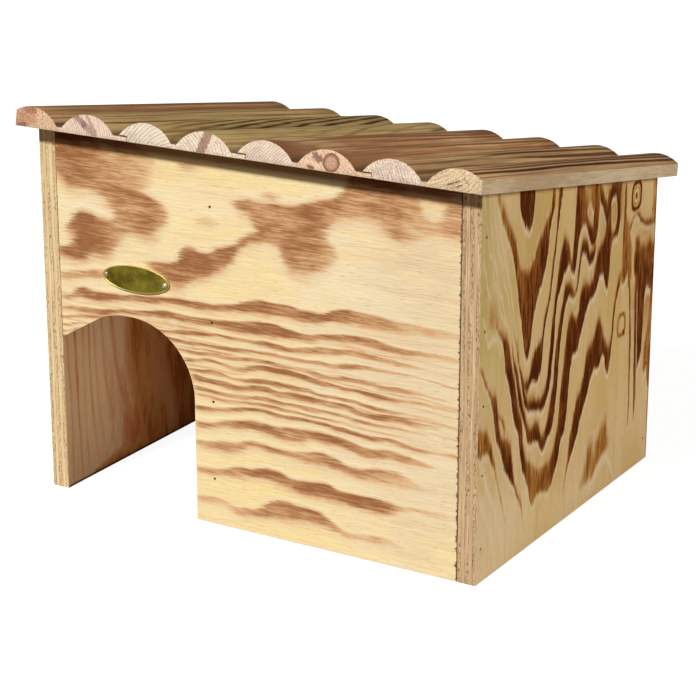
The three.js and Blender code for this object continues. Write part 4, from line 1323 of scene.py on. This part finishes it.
def roof_board(index, finishes):
    """A board from its front to its rear end. Its finishes are the top, the underside and the sawn
    end of each crown, in that order."""
    top, under, part = board_outline(index)
    loop = under + top[::-1]
    count = len(loop)
    length = (rear_end - front_end) / MM
    sections = list(END_EASE)
    sections += [(length * step / LENGTH_STEPS, 0.0) for step in range(1, LENGTH_STEPS)]
    sections += [(length - along, inset) for along, inset in reversed(END_EASE)]
    points, faces, kinds = [], [], []
    for along, inset in sections:
        for x, height in inset_loop(loop, inset):
            laid = Vector((x * MM, front_end + along * MM, roof_base + height * MM))
            points.append(from_roof @ laid)
    for section in range(len(sections) - 1):
        a, b = section * count, (section + 1) * count
        for step in range(count):
            following = (step + 1) % count
            faces.append((a + step, a + following, b + following, b + step))
            kinds.append(0 if len(under) <= step < count - 1 else 1)
    under_part = under.index((part, 0.0))
    top_part = count - 1 - top.index((part, WEB))
    left_end = list(range(0, under_part + 1)) + list(range(top_part, count))
    right_end = list(range(under_part, top_part + 1))
    last = (len(sections) - 1) * count
    for crown, end in enumerate((left_end, right_end)):
        faces.append(tuple(reversed(end)))
        faces.append(tuple(last + place for place in end))
        kinds += [2 + crown, 2 + crown]
    name = f"crowned_board_{index + 1}"
    mesh = bpy.data.meshes.new(name)
    mesh.from_pydata(points, [], faces)
    for material in finishes:
        mesh.materials.append(material)
    mesh.polygons.foreach_set("material_index", kinds)
    shape = bmesh.new()
    shape.from_mesh(mesh)
    bmesh.ops.recalc_face_normals(shape, faces=shape.faces)
    shape.to_mesh(mesh)
    shape.free()
    mesh.shade_smooth()
    mesh.set_sharp_from_angle(angle=SMOOTH_CROWN_UNDER)
    board = placed(name, mesh)
    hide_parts(f"roof_board_{index + 1}")
    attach(board, "roof")


def crown_number(bench, x):
    """Which crown a place lies on, and how far it is from that crown's crest."""
    place = bench.over(bench.minus(x, (first_crest - pitch / 2) * MM), pitch * MM)
    number = bench.math("FLOOR", place)
    beside = bench.times(bench.minus(bench.math("FRACT", place), 0.5), pitch * MM)
    return number, beside


def by_crown(bench, number, colours):
    """The colour of the crown with that number."""
    share = bench.over(bench.plus(number, 0.5), float(CROWNS))
    stops = ((index / CROWNS, colour) for index, colour in enumerate(colours))
    return bench.ramp(share, *stops, interpolation="CONSTANT")


CROWN_GROUNDS = [
    rgb(172, 136, 96), rgb(178, 150, 102), rgb(168, 140, 90), rgb(178, 152, 102),
    rgb(184, 146, 104), rgb(192, 152, 106), rgb(190, 154, 106), rgb(188, 152, 108),
]
CROWN_STREAKS = [
    rgb(84, 46, 28), rgb(72, 50, 26), rgb(46, 29, 9), rgb(84, 60, 28),
    rgb(88, 46, 26), rgb(96, 54, 30), rgb(66, 34, 20), rgb(66, 32, 18),
]
# How much each crown shows of thin lines, broad streaks and reddening, held as a colour
CROWN_FIGURES = [
    (0.8, 0.6, 0.3, 1), (0.85, 0.35, 0.1, 1), (0.5, 0.2, 0.0, 1), (0.5, 0.35, 0.0, 1),
    (0.7, 0.55, 0.4, 1), (0.7, 0.5, 0.35, 1), (0.65, 0.35, 0.2, 1), (0.6, 0.3, 0.1, 1),
]

# Stripes drawn down a crown in the same way as the walls' rings, in millimetres from the front
# end and from the line that lies STRIPE_SIDE left of the crest
STRIPE_SPAN = 341.0
STRIPE_SIDE = 30.0
STRIPE_SOFTNESS = 0.8
HALF_STRIPE = 170.0


def slanting(start, slope, width, depth):
    """A streak that runs off a crown slowly, from its start beside the crest."""
    rows = []
    for along in (0.0, 60.0, 120.0, 190.0, 260.0, STRIPE_SPAN):
        middle = start - slope * along + 0.012 * (along - HALF_STRIPE) ** 2 / HALF_STRIPE
        begun = min(1.0, 0.3 + along / 120.0)
        lower, upper = STRIPE_SIDE + middle - width / 2, STRIPE_SIDE + middle + width / 2
        rows.append((along, lower, upper, depth * begun))
    return rows


CROWN_STRIPES = {
    0: [
        [(0, 40, 44, 0.2), (60, 39, 44, 0.5), (160, 40, 45, 0.5), (341, 41, 46, 0.4)],
        [(0, 28, 33, 0.3), (120, 29, 35, 0.6), (230, 31, 37, 0.7), (341, 32, 38, 0.5)],
    ],
    2: [
        slanting(start, 0.115, 2.3, 1.0)
        for start in (60.0, 53.5, 47.5, 42.0, 36.5, 31.0, 25.5, 20.0, 14.0, 8.0)
    ],
    3: [
        slanting(78.0, 0.16, 1.8, 0.55), slanting(66.0, 0.16, 2.6, 0.7), slanting(55.0, 0.16, 1.6, 0.6),
        slanting(44.0, 0.16, 2.2, 0.7), slanting(33.0, 0.15, 1.6, 0.6), slanting(24.0, 0.14, 1.4, 0.5),
    ],
    4: [
        [(0, 30, 54, 0.75), (22, 34, 54, 0.6), (45, 44, 53, 0.4), (80, 49, 53, 0.2)],
        [(60, 30, 31.4, 0.6), (150, 31, 33, 0.85), (341, 34, 37, 0.8)],
        [(60, 35, 36, 0.5), (150, 36.5, 38, 0.8), (250, 38, 40, 0.9), (341, 40, 42, 0.8)],
        [(120, 43, 44.4, 0.5), (250, 42, 44, 0.8), (341, 43.5, 45.5, 0.8)],
        [(0, 24, 25.4, 0.6), (180, 26, 27.6, 0.8), (341, 28.5, 30.5, 0.8)],
    ],
    5: [
        [(0, 34, 54, 0.7), (30, 38, 54, 0.55), (70, 45, 52, 0.4), (130, 48, 52, 0.2)],
        [(60, 36, 37.4, 0.5), (200, 36.5, 39, 0.85), (341, 38, 41, 0.8)],
        [(0, 30, 31.4, 0.6), (160, 31, 32.8, 0.8), (341, 32, 34.5, 0.85)],
        [(0, 25, 26, 0.5), (200, 24.5, 26, 0.75), (341, 25, 27, 0.75)],
        [(150, 44, 45.4, 0.5), (341, 44.5, 47, 0.8)],
    ],
    6: [
        [(0, 38, 56, 0.36), (60, 40, 56, 0.32), (110, 44, 55, 0.22), (140, 50, 54, 0.1)],
        [(0, 47, 50, 0.8), (70, 46.5, 49.4, 0.8), (120, 48, 50, 0.6), (170, 50, 51.4, 0.3)],
        [(0, 41, 43, 0.7), (80, 40.4, 42.6, 0.7), (130, 40, 41.6, 0.4)],
        [
            (110, 38, 39.4, 0.5), (150, 35, 38.4, 0.9), (200, 34, 38, 0.95), (260, 35.5, 39, 0.9),
            (341, 38, 41.5, 0.8),
        ],
        [(120, 31, 32.6, 0.7), (180, 28, 31, 0.95), (240, 28, 31.4, 0.95), (341, 31, 34, 0.9)],
        [(150, 42, 44, 0.7), (220, 42.5, 46, 0.9), (341, 44, 47.6, 0.85)],
        [(0, 30, 32, 0.6), (110, 30, 32.5, 0.6), (150, 29, 32, 0.4)],
        [(0, 24, 25.4, 0.6), (120, 23, 24.6, 0.7), (341, 25, 27, 0.8)],
    ],
    7: [
        [(0, 40, 42.8, 0.9), (120, 40.5, 43.4, 1.0), (341, 41, 44.6, 0.9)],
        [(0, 36.2, 38.2, 0.85), (120, 36, 38.6, 0.95), (341, 36.5, 39.2, 0.9)],
        [(0, 32.5, 34.3, 0.7), (150, 31.5, 34.4, 0.95), (341, 31, 35, 0.9)],
        [(0, 28.2, 29.6, 0.6), (150, 27.6, 30, 0.85), (341, 26, 29, 0.85)],
        [(0, 24, 25, 0.5), (200, 22.6, 24.4, 0.8), (341, 21.5, 24, 0.8)],
    ],
}
BOARD_RELIEF = 0.2 * MM


def crown_stripes(bench, number, run, side):
    """The burn of the stripes drawn for the crown that a place lies on."""
    stripes, last = 0.0, 0.0
    share_run = bench.over(run, STRIPE_SPAN * MM)
    share_side = bench.over(bench.plus(side, STRIPE_SIDE * MM), STRIPE_SPAN * MM)
    for crown, drawn in CROWN_STRIPES.items():
        own = 0.0
        for rows in drawn:
            ring = ring_curves(bench, rows, STRIPE_SPAN, after(bench, share_run, last))
            own = last = bench.use(burnt_ring, {
                "Before": own, "Halo before": 0.0, "Height": share_side, "Ring": ring,
                "Softness": STRIPE_SOFTNESS / STRIPE_SPAN, "Strength": 1.0, "Lean": 0.0,
                "Low fade": 0.0, "High fade": 0.0, "Low glow": 1.0, "High glow": 1.0,
            })["Burn"]
        here = bench.math("COMPARE", number, float(crown), 0.5)
        stripes = bench.larger(stripes, bench.times(own, here))
    return stripes


def planed_top():
    """The planed and stained top of the boards, with each crown's own streaks and painted shade in its
    valleys.
    """
    material, bench, shader = finish("stained crowns")
    x, along, height = roof_place(bench)
    number, beside = crown_number(bench, x)
    seed = bench.times(number, 3.7)
    fibre = bench.use(wood_fibres, {"Place": bench.pack(along, x, height), "Seed": seed})
    pulled = bench.plus(along, bench.times(fibre["Teeth"], 0.03))
    sway = bench.times(bench.minus(bench.drawn_noise(along, 6.0, x, 30.0, seed, 2.0), 0.5), 6.0 * MM)
    side = bench.plus(beside, sway)
    thin, broad, red = bench.unpack(by_crown(bench, number, CROWN_FIGURES))
    lines = bench.rise(bench.drawn_noise(pulled, 3.0, side, 420.0, seed, 3.0, 0.6), 0.48, 0.62)
    streaks = bench.rise(bench.drawn_noise(pulled, 5.0, side, 140.0, seed, 3.0), 0.46, 0.66)
    figure = bench.larger(bench.times(lines, thin), bench.times(streaks, broad))
    burn = bench.larger(figure, crown_stripes(bench, number, pulled, side))
    ground = by_crown(bench, number, CROWN_GROUNDS)
    streak = by_crown(bench, number, CROWN_STREAKS)
    reddened = bench.times(bench.rise(fibre["Cloud"], 0.45, 0.75), red)
    redder = bench.blend(reddened, ground, rgb(150, 92, 60))
    toned = bench.blend(burn, redder, streak)
    light = bench.ramp(fibre["Streak"], (0.0, (0.84, 0.82, 0.8, 1)), (1.0, (1.08, 1.07, 1.05, 1)))
    combed = bench.blend(0.8, toned, light, "MULTIPLY")
    # Painted shade: the valleys low between the crowns are darkened, standing in for the shade that falls
    # there
    valley_shade = bench.times(bench.rise(height, WEB * MM * 0.9, WEB * MM * 2.4, 0.75, 0.0), 0.8)
    valley_shaded = bench.blend(valley_shade, combed, rgb(92, 70, 44))
    bench.feed(shader.inputs["Base Color"], valley_shaded)
    bench.feed(shader.inputs["Roughness"], bench.plus(0.5, bench.times(fibre["Streak"], 0.2)))
    shader.inputs["Specular IOR Level"].default_value = 0.15
    ridge = bench.plus(bench.times(fibre["Streak"], 0.5), bench.times(burn, -0.3))
    relief(bench, shader, ridge, BOARD_RELIEF)
    return material


def sawn_under():
    """The rough sawn underside, the laps and the outer boards' trimmed edges."""
    material, bench, shader = finish("sawn softwood")
    x, along, height = roof_place(bench)
    fibre = bench.use(wood_fibres, {"Place": bench.pack(along, x, height), "Seed": 41.0})
    saw = bench.drawn_noise(along, 420.0, x, 12.0, bench.times(height, 12.0), 2.0)
    tone = bench.plus(bench.times(fibre["Cloud"], 0.55), bench.times(fibre["Streak"], 0.45))
    colour = bench.ramp(tone, (0.25, rgb(206, 176, 136)), (0.75, rgb(238, 214, 176)))
    bench.feed(shader.inputs["Base Color"], colour)
    bench.feed(shader.inputs["Roughness"], bench.rise(saw, 0.3, 0.7, 0.68, 0.86))
    shader.inputs["Specular IOR Level"].default_value = 0.25
    relief(bench, shader, bench.plus(bench.times(saw, 0.5), fibre["Streak"]), BOARD_RELIEF)
    return material


def end_grain_effect():
    """Growth rings about a pith, cut across: the dark late wood of each, and the cells."""
    bench, given, made = effect(
        "growth rings",
        {"Place": "vector", "Pith": "vector", "Spacing": "value", "Seed": "value"},
        {"Ring": "value", "Cell": "value", "Cloud": "value"},
    )
    offset = bench.vector("SUBTRACT", given["Place"], given["Pith"])
    shift = bench.pack(given["Seed"], given["Seed"], given["Seed"])

    def shifted(scale, detail, roughness=0.5):
        return bench.noise(bench.vector("ADD", given["Place"], shift), scale, detail, roughness)

    jitter = bench.times(bench.minus(shifted(0.16, 2.0), 0.5), 1.6)
    away = bench.measure("LENGTH", offset)
    count = bench.over(bench.plus(away, jitter), given["Spacing"])
    share = bench.math("FRACT", count)
    late = bench.times(bench.rise(share, 0.45, 0.82), bench.rise(share, 0.86, 0.98, 1.0, 0.0))
    year = bench.noise(bench.pack(bench.math("FLOOR", count), given["Seed"], 0.0), 0.83, 1.0)
    bench.feed(made["Ring"], bench.times(late, bench.rise(year, 0.3, 0.6, 0.45, 1.0)))
    bench.feed(made["Cell"], shifted(1.5, 3.0, 0.7))
    bench.feed(made["Cloud"], shifted(0.12, 2.0))
    return bench.tree


def stain_effect():
    """A stain on the end grain: a soft streak of a given width from one place to another."""
    bench, given, made = effect(
        "stain",
        {
            "Place": "vector", "From": "vector", "To": "vector", "Width": "value", "Softness": "value",
            "Seed": "value",
        },
        {"Mask": "value"},
    )
    run = bench.vector("SUBTRACT", given["To"], given["From"])
    offset = bench.vector("SUBTRACT", given["Place"], given["From"])
    length = bench.measure("DOT_PRODUCT", run, run)
    reach = bench.measure("DOT_PRODUCT", offset, run)
    share = bench.math("DIVIDE", reach, length, clamp=True)
    nearest = bench.node("VectorMath", {0: run, "Scale": share}, operation="SCALE").outputs[0]
    away = bench.measure("LENGTH", bench.vector("SUBTRACT", offset, nearest))
    shifted = bench.vector("ADD", given["Place"], bench.pack(given["Seed"], 0.0, 0.0))
    rough = bench.times(bench.minus(bench.noise(shifted, 0.55, 3.0, 0.6), 0.5), 3.0)
    distance = bench.plus(away, bench.times(rough, given["Softness"]))
    outer = bench.plus(given["Width"], given["Softness"])
    bench.feed(made["Mask"], bench.rise(distance, given["Width"], outer, 1.0, 0.0))
    return bench.tree


growth_rings = end_grain_effect()
stain = stain_effect()

# Each crown's sawn end, as it shows: ground and ring colours, pith beside and over the crest's
# foot and ring spacing in millimetres, how much the rings and cells show, its stains as (from, to,
# width, softness, colour, strength), and a knot as its place beside, place over and radius
CROWN_ENDS = [
    {
        "ground": rgb(240, 202, 168), "line": rgb(206, 160, 124), "pith": (70.0, 34.0), "spacing": 2.6,
        "rings": 0.35, "cells": 0.35,
        "stains": [
            ((-13.0, 5.0), (-2.0, 9.0), 5.0, 3.5, rgb(206, 152, 112), 0.7),
            ((-6.0, 14.0), (2.0, 13.0), 1.6, 2.2, rgb(176, 116, 96), 0.75),
            ((-12.0, 1.0), (-6.0, 1.6), 0.8, 1.6, rgb(150, 84, 70), 0.7),
        ],
    },
    {
        "ground": rgb(254, 228, 206), "line": rgb(188, 146, 124), "pith": (-62.0, -20.0), "spacing": 2.0,
        "rings": 0.55, "cells": 0.25,
        "stains": [
            ((-11.0, 13.0), (-3.0, 8.0), 1.4, 1.8, rgb(142, 100, 92), 0.7),
            ((-3.0, 8.0), (7.0, 2.0), 1.8, 2.0, rgb(150, 108, 100), 0.6),
            ((-1.0, 14.5), (6.0, 6.0), 0.4, 1.4, rgb(160, 120, 108), 0.6),
        ],
    },
    {
        "ground": rgb(255, 242, 220), "line": rgb(190, 160, 122), "pith": (30.0, -24.0), "spacing": 2.7,
        "rings": 0.6, "cells": 0.2, "stains": [],
    },
    {
        "ground": rgb(255, 238, 212), "line": rgb(190, 152, 118), "pith": (-40.0, -22.0), "spacing": 2.5,
        "rings": 0.45, "cells": 0.25,
        "stains": [((4.0, 17.0), (-2.5, 0.0), 3.0, 1.4, rgb(172, 132, 112), 0.9)],
    },
    {
        "ground": rgb(255, 234, 212), "line": rgb(204, 158, 132), "pith": (58.0, -46.0), "spacing": 1.9,
        "rings": 0.5, "cells": 0.25, "stains": [],
    },
    {
        "ground": rgb(250, 214, 182), "line": rgb(206, 152, 118), "pith": (52.0, 60.0), "spacing": 2.6,
        "rings": 0.3, "cells": 0.3,
        "stains": [
            ((-10.0, 10.5), (-5.5, 8.0), 1.4, 2.2, rgb(142, 98, 78), 0.85),
            ((-14.5, 2.0), (-11.5, 1.2), 0.7, 1.6, rgb(132, 78, 58), 0.85),
        ],
        "knot": (3.4, 6.8, 7.0),
    },
    {
        "ground": rgb(252, 230, 210), "line": rgb(196, 160, 138), "pith": (-88.0, -40.0), "spacing": 2.1,
        "rings": 0.5, "cells": 0.4, "stains": [],
    },
    {
        "ground": rgb(248, 222, 182), "line": rgb(190, 150, 104), "pith": (-30.0, 46.0), "spacing": 2.8,
        "rings": 0.25, "cells": 1.0,
        "stains": [
            ((-8.0, 3.4), (1.5, 7.6), 0.1, 0.9, rgb(122, 84, 52), 0.9),
            ((-5.0, 1.6), (3.0, 4.6), 0.1, 0.8, rgb(136, 96, 60), 0.8),
            ((4.0, 9.0), (8.0, 6.0), 0.1, 0.8, rgb(150, 110, 74), 0.7),
        ],
    },
]
SAWN_RELIEF = 0.25 * MM


def knotted(bench, colour, flat, knot, seed):
    """The sawn end with a knot in it: rings about its own eye, and a dark rim."""
    across, up, radius = knot
    eye = bench.use(growth_rings, {"Place": flat, "Pith": (across, up, 0.0), "Spacing": 1.5, "Seed": seed})
    away = bench.measure("LENGTH", bench.vector("SUBTRACT", flat, bench.pack(across, up, 0.0)))
    inside = bench.rise(away, radius * 0.92, radius * 1.06, 1.0, 0.0)
    rim = bench.times(bench.rise(away, radius * 0.5, radius * 0.86), inside)
    ringed = bench.blend(bench.times(eye["Ring"], 0.8), rgb(224, 176, 146), rgb(160, 104, 82))
    rimmed = bench.blend(bench.times(rim, 0.85), ringed, rgb(140, 94, 74))
    return bench.blend(inside, colour, rimmed)


def sawn_end(number, look):
    """The sawn front and rear end of one crown. The effects on it work in millimetres."""
    material, bench, shader = finish(f"sawn end {number + 1}")
    x, _, height = roof_place(bench)
    beside = bench.minus(x, (first_crest + number * pitch) * MM)
    flat = bench.pack(bench.over(beside, MM), bench.over(height, MM), 0.0)
    seed = 5.0 + 3.1 * number
    rings = bench.use(growth_rings, {
        "Place": flat, "Pith": (*look["pith"], 0.0), "Spacing": look["spacing"], "Seed": seed,
    })
    clouded = bench.times(bench.rise(rings["Cloud"], 0.4, 0.65), 0.15)
    ground = bench.blend(clouded, look["ground"], look["line"])
    colour = bench.blend(bench.times(rings["Ring"], look["rings"]), ground, look["line"])
    if "knot" in look:
        colour = knotted(bench, colour, flat, look["knot"], seed + 1.0)
    for step, (start, stop, width, softness, tone, strength) in enumerate(look["stains"]):
        mask = bench.use(stain, {
            "Place": flat, "From": (*start, 0.0), "To": (*stop, 0.0), "Width": width,
            "Softness": softness, "Seed": seed + step,
        })["Mask"]
        colour = bench.blend(bench.times(mask, strength), colour, tone)
    cells = bench.rise(rings["Cell"], 0.5, 0.64)
    pitted = bench.blend(bench.times(cells, look["cells"]), colour, rgb(148, 108, 70))
    bench.feed(shader.inputs["Base Color"], pitted)
    bench.feed(shader.inputs["Roughness"], bench.rise(rings["Cell"], 0.3, 0.7, 0.66, 0.9))
    shader.inputs["Specular IOR Level"].default_value = 0.2
    relief(bench, shader, bench.minus(rings["Ring"], cells), SAWN_RELIEF)
    return material


crown_top = planed_top()
board_sawn = sawn_under()
crown_ends = [sawn_end(number, look) for number, look in enumerate(CROWN_ENDS)]
for index in range(BOARDS):
    roof_board(index, (crown_top, board_sawn, *crown_ends[2 * index:2 * index + 2]))


# The battens and their screws: two planed softwood battens run across under the boards, just
# inside the walls, so that the roof can't slide. Steel screws go up through them into the crowns.

BATTEN_RELIEF = 0.15 * MM
BATTEN_END_RELIEF = 0.2 * MM


def batten_wood():
    """The battens' planed sides."""
    material, bench, shader = finish("batten wood")
    x, along, height = roof_place(bench)
    fibre = bench.use(wood_fibres, {"Place": bench.pack(x, along, height), "Seed": 57.0})
    figure = bench.use(peeled_figure, {"Place": bench.pack(x, along, height), "Seed": 13.0, "Rings": 16.0})
    tone = bench.plus(bench.times(fibre["Cloud"], 0.4), bench.times(fibre["Streak"], 0.6))
    ground = bench.ramp(tone, (0.2, rgb(204, 170, 122)), (0.8, rgb(232, 204, 160)))
    figured = bench.blend(bench.times(figure["Burn"], 0.55), ground, rgb(176, 124, 78))
    bench.feed(shader.inputs["Base Color"], figured)
    bench.feed(shader.inputs["Roughness"], bench.rise(fibre["Streak"], 0.2, 0.8, 0.56, 0.74))
    shader.inputs["Specular IOR Level"].default_value = 0.3
    relief(bench, shader, fibre["Streak"], BATTEN_RELIEF)
    return material


def batten_end():
    """The battens' sawn ends. The growth rings work in millimetres."""
    material, bench, shader = finish("batten end")
    along, height = roof_place(bench)[1:]
    flat = bench.pack(bench.over(along, MM), bench.over(height, MM), 0.0)
    rings = bench.use(growth_rings, {
        "Place": flat, "Pith": (40.0, -60.0, 0.0), "Spacing": 2.4, "Seed": 77.0,
    })
    colour = bench.blend(rings["Ring"], rgb(236, 206, 164), rgb(182, 134, 92))
    bench.feed(shader.inputs["Base Color"], colour)
    bench.feed(shader.inputs["Roughness"], bench.rise(rings["Cell"], 0.3, 0.7, 0.66, 0.9))
    relief(bench, shader, rings["Cell"], BATTEN_END_RELIEF)
    return material


def end_or_side(normal):
    return 1 if abs(normal.x) > FACING else 0


batten_finishes = (batten_wood(), batten_end())
for batten in ("front_batten", "rear_batten"):
    eased(batten, "roof", batten_finishes, end_or_side)

coat("screw", dark_steel("screw steel", rgb(120, 114, 104), rgb(196, 192, 184)))


# The studio: a pale floor without an edge, a white backdrop with a weak warm light all round, a
# soft lamp in front and above, a weaker one from the right, and a small glow inside the entrance.

# The camera stands in front on the right, and looks down and to the left by these angles, in
# radians
CAMERA_PLACE = (0.90389, -1.51929, 0.70172)
CAMERA_DOWN = 0.3260754
CAMERA_LEFT = 0.5402737
LENS = 121.21
SENSOR_WIDTH = 36.0
camera_data = bpy.data.cameras.new("camera")
camera_data.lens = LENS
camera_data.sensor_width = SENSOR_WIDTH
camera_data.clip_start = 0.1
camera = placed("camera", camera_data)
camera.location = CAMERA_PLACE
camera.rotation_euler = (math.pi / 2 - CAMERA_DOWN, 0.0, CAMERA_LEFT)
bpy.context.scene.camera = camera

FLOOR_HALF = 6.0
FLOOR_DROP = 0.2 * MM
floor_corners = [
    (x * FLOOR_HALF, y * FLOOR_HALF, -FLOOR_DROP) for x, y in ((-1, -1), (1, -1), (1, 1), (-1, 1))
]
floor_mesh = bpy.data.meshes.new("floor")
floor_mesh.from_pydata(floor_corners, [], [(0, 1, 2, 3)])
floor = placed("floor", floor_mesh)
floor_material, floor_bench, floor_shader = finish("pale floor")
floor_shader.inputs["Base Color"].default_value = (0.24, 0.24, 0.24, 1)
floor_shader.inputs["Roughness"].default_value = 0.9
floor_shader.inputs["Specular IOR Level"].default_value = 0.0
floor_shader.inputs["Emission Color"].default_value = (1, 1, 1, 1)
floor_shader.inputs["Emission Strength"].default_value = 0.92
floor_bounce = floor_bench.node("BsdfDiffuse", {"Color": (0.2, 0.18, 0.165, 1)})
seen_or_not = floor_bench.node("MixShader", {
    0: floor_bench.node("LightPath").outputs["Is Camera Ray"],
    1: floor_bounce.outputs[0],
    2: floor_shader.outputs[0],
})
surface = floor_material.node_tree.nodes["Material Output"].inputs["Surface"]
floor_bench.feed(surface, seen_or_not.outputs[0])
floor_mesh.materials.append(floor_material)


def lamp(name, strength, elevation, azimuth, softness, colour):
    """A distant soft lamp. Azimuth 0 is in front of the house, 90 at its right."""
    data = bpy.data.lights.new(name, "SUN")
    data.energy = strength
    data.angle = math.radians(softness)
    data.color = colour
    rise, turn = math.radians(elevation), math.radians(azimuth)
    toward = Vector((math.sin(turn) * math.cos(rise), -math.cos(turn) * math.cos(rise), math.sin(rise)))
    placed(name, data).rotation_euler = toward.to_track_quat("Z", "Y").to_euler()


lamp("key", strength=3.45, elevation=41, azimuth=-8, softness=6, colour=(1.0, 0.985, 0.965))
lamp("fill", strength=1.6, elevation=22, azimuth=98, softness=25, colour=(1.0, 0.98, 0.95))

# The glow lies behind the front wall, against the partition, and shines at the left wall
GLOW_PLACE = (-56 * MM, -118 * MM, 85 * MM)
GLOW_WIDTH = 50 * MM
GLOW_HEIGHT = 90 * MM
glow_data = bpy.data.lights.new("entrance glow", "AREA")
glow_data.shape = "RECTANGLE"
glow_data.size = GLOW_WIDTH
glow_data.size_y = GLOW_HEIGHT
glow_data.energy = 0.045
glow_data.color = (1.0, 0.97, 0.93)
glow = placed("entrance glow", glow_data)
glow.location = GLOW_PLACE
glow.rotation_euler = Vector((1.0, 0.0, 0.0)).to_track_quat("Z", "Y").to_euler()
glow.visible_camera = False

SURROUND = 0.1
BACKDROP = 1.05
world = bpy.data.worlds.new("white studio")
bpy.context.scene.world = world
world.use_nodes = True
studio = Bench(world.node_tree)
backdrop = world.node_tree.nodes["Background"]
seen = studio.node("LightPath").outputs["Is Camera Ray"]
studio.feed(backdrop.inputs["Color"], studio.blend(seen, (1.0, 0.88, 0.76, 1), (1, 1, 1, 1)))
studio.feed(backdrop.inputs["Strength"], studio.plus(SURROUND, studio.times(seen, BACKDROP - SURROUND)))
bpy.context.scene.view_settings.view_transform = "Standard"
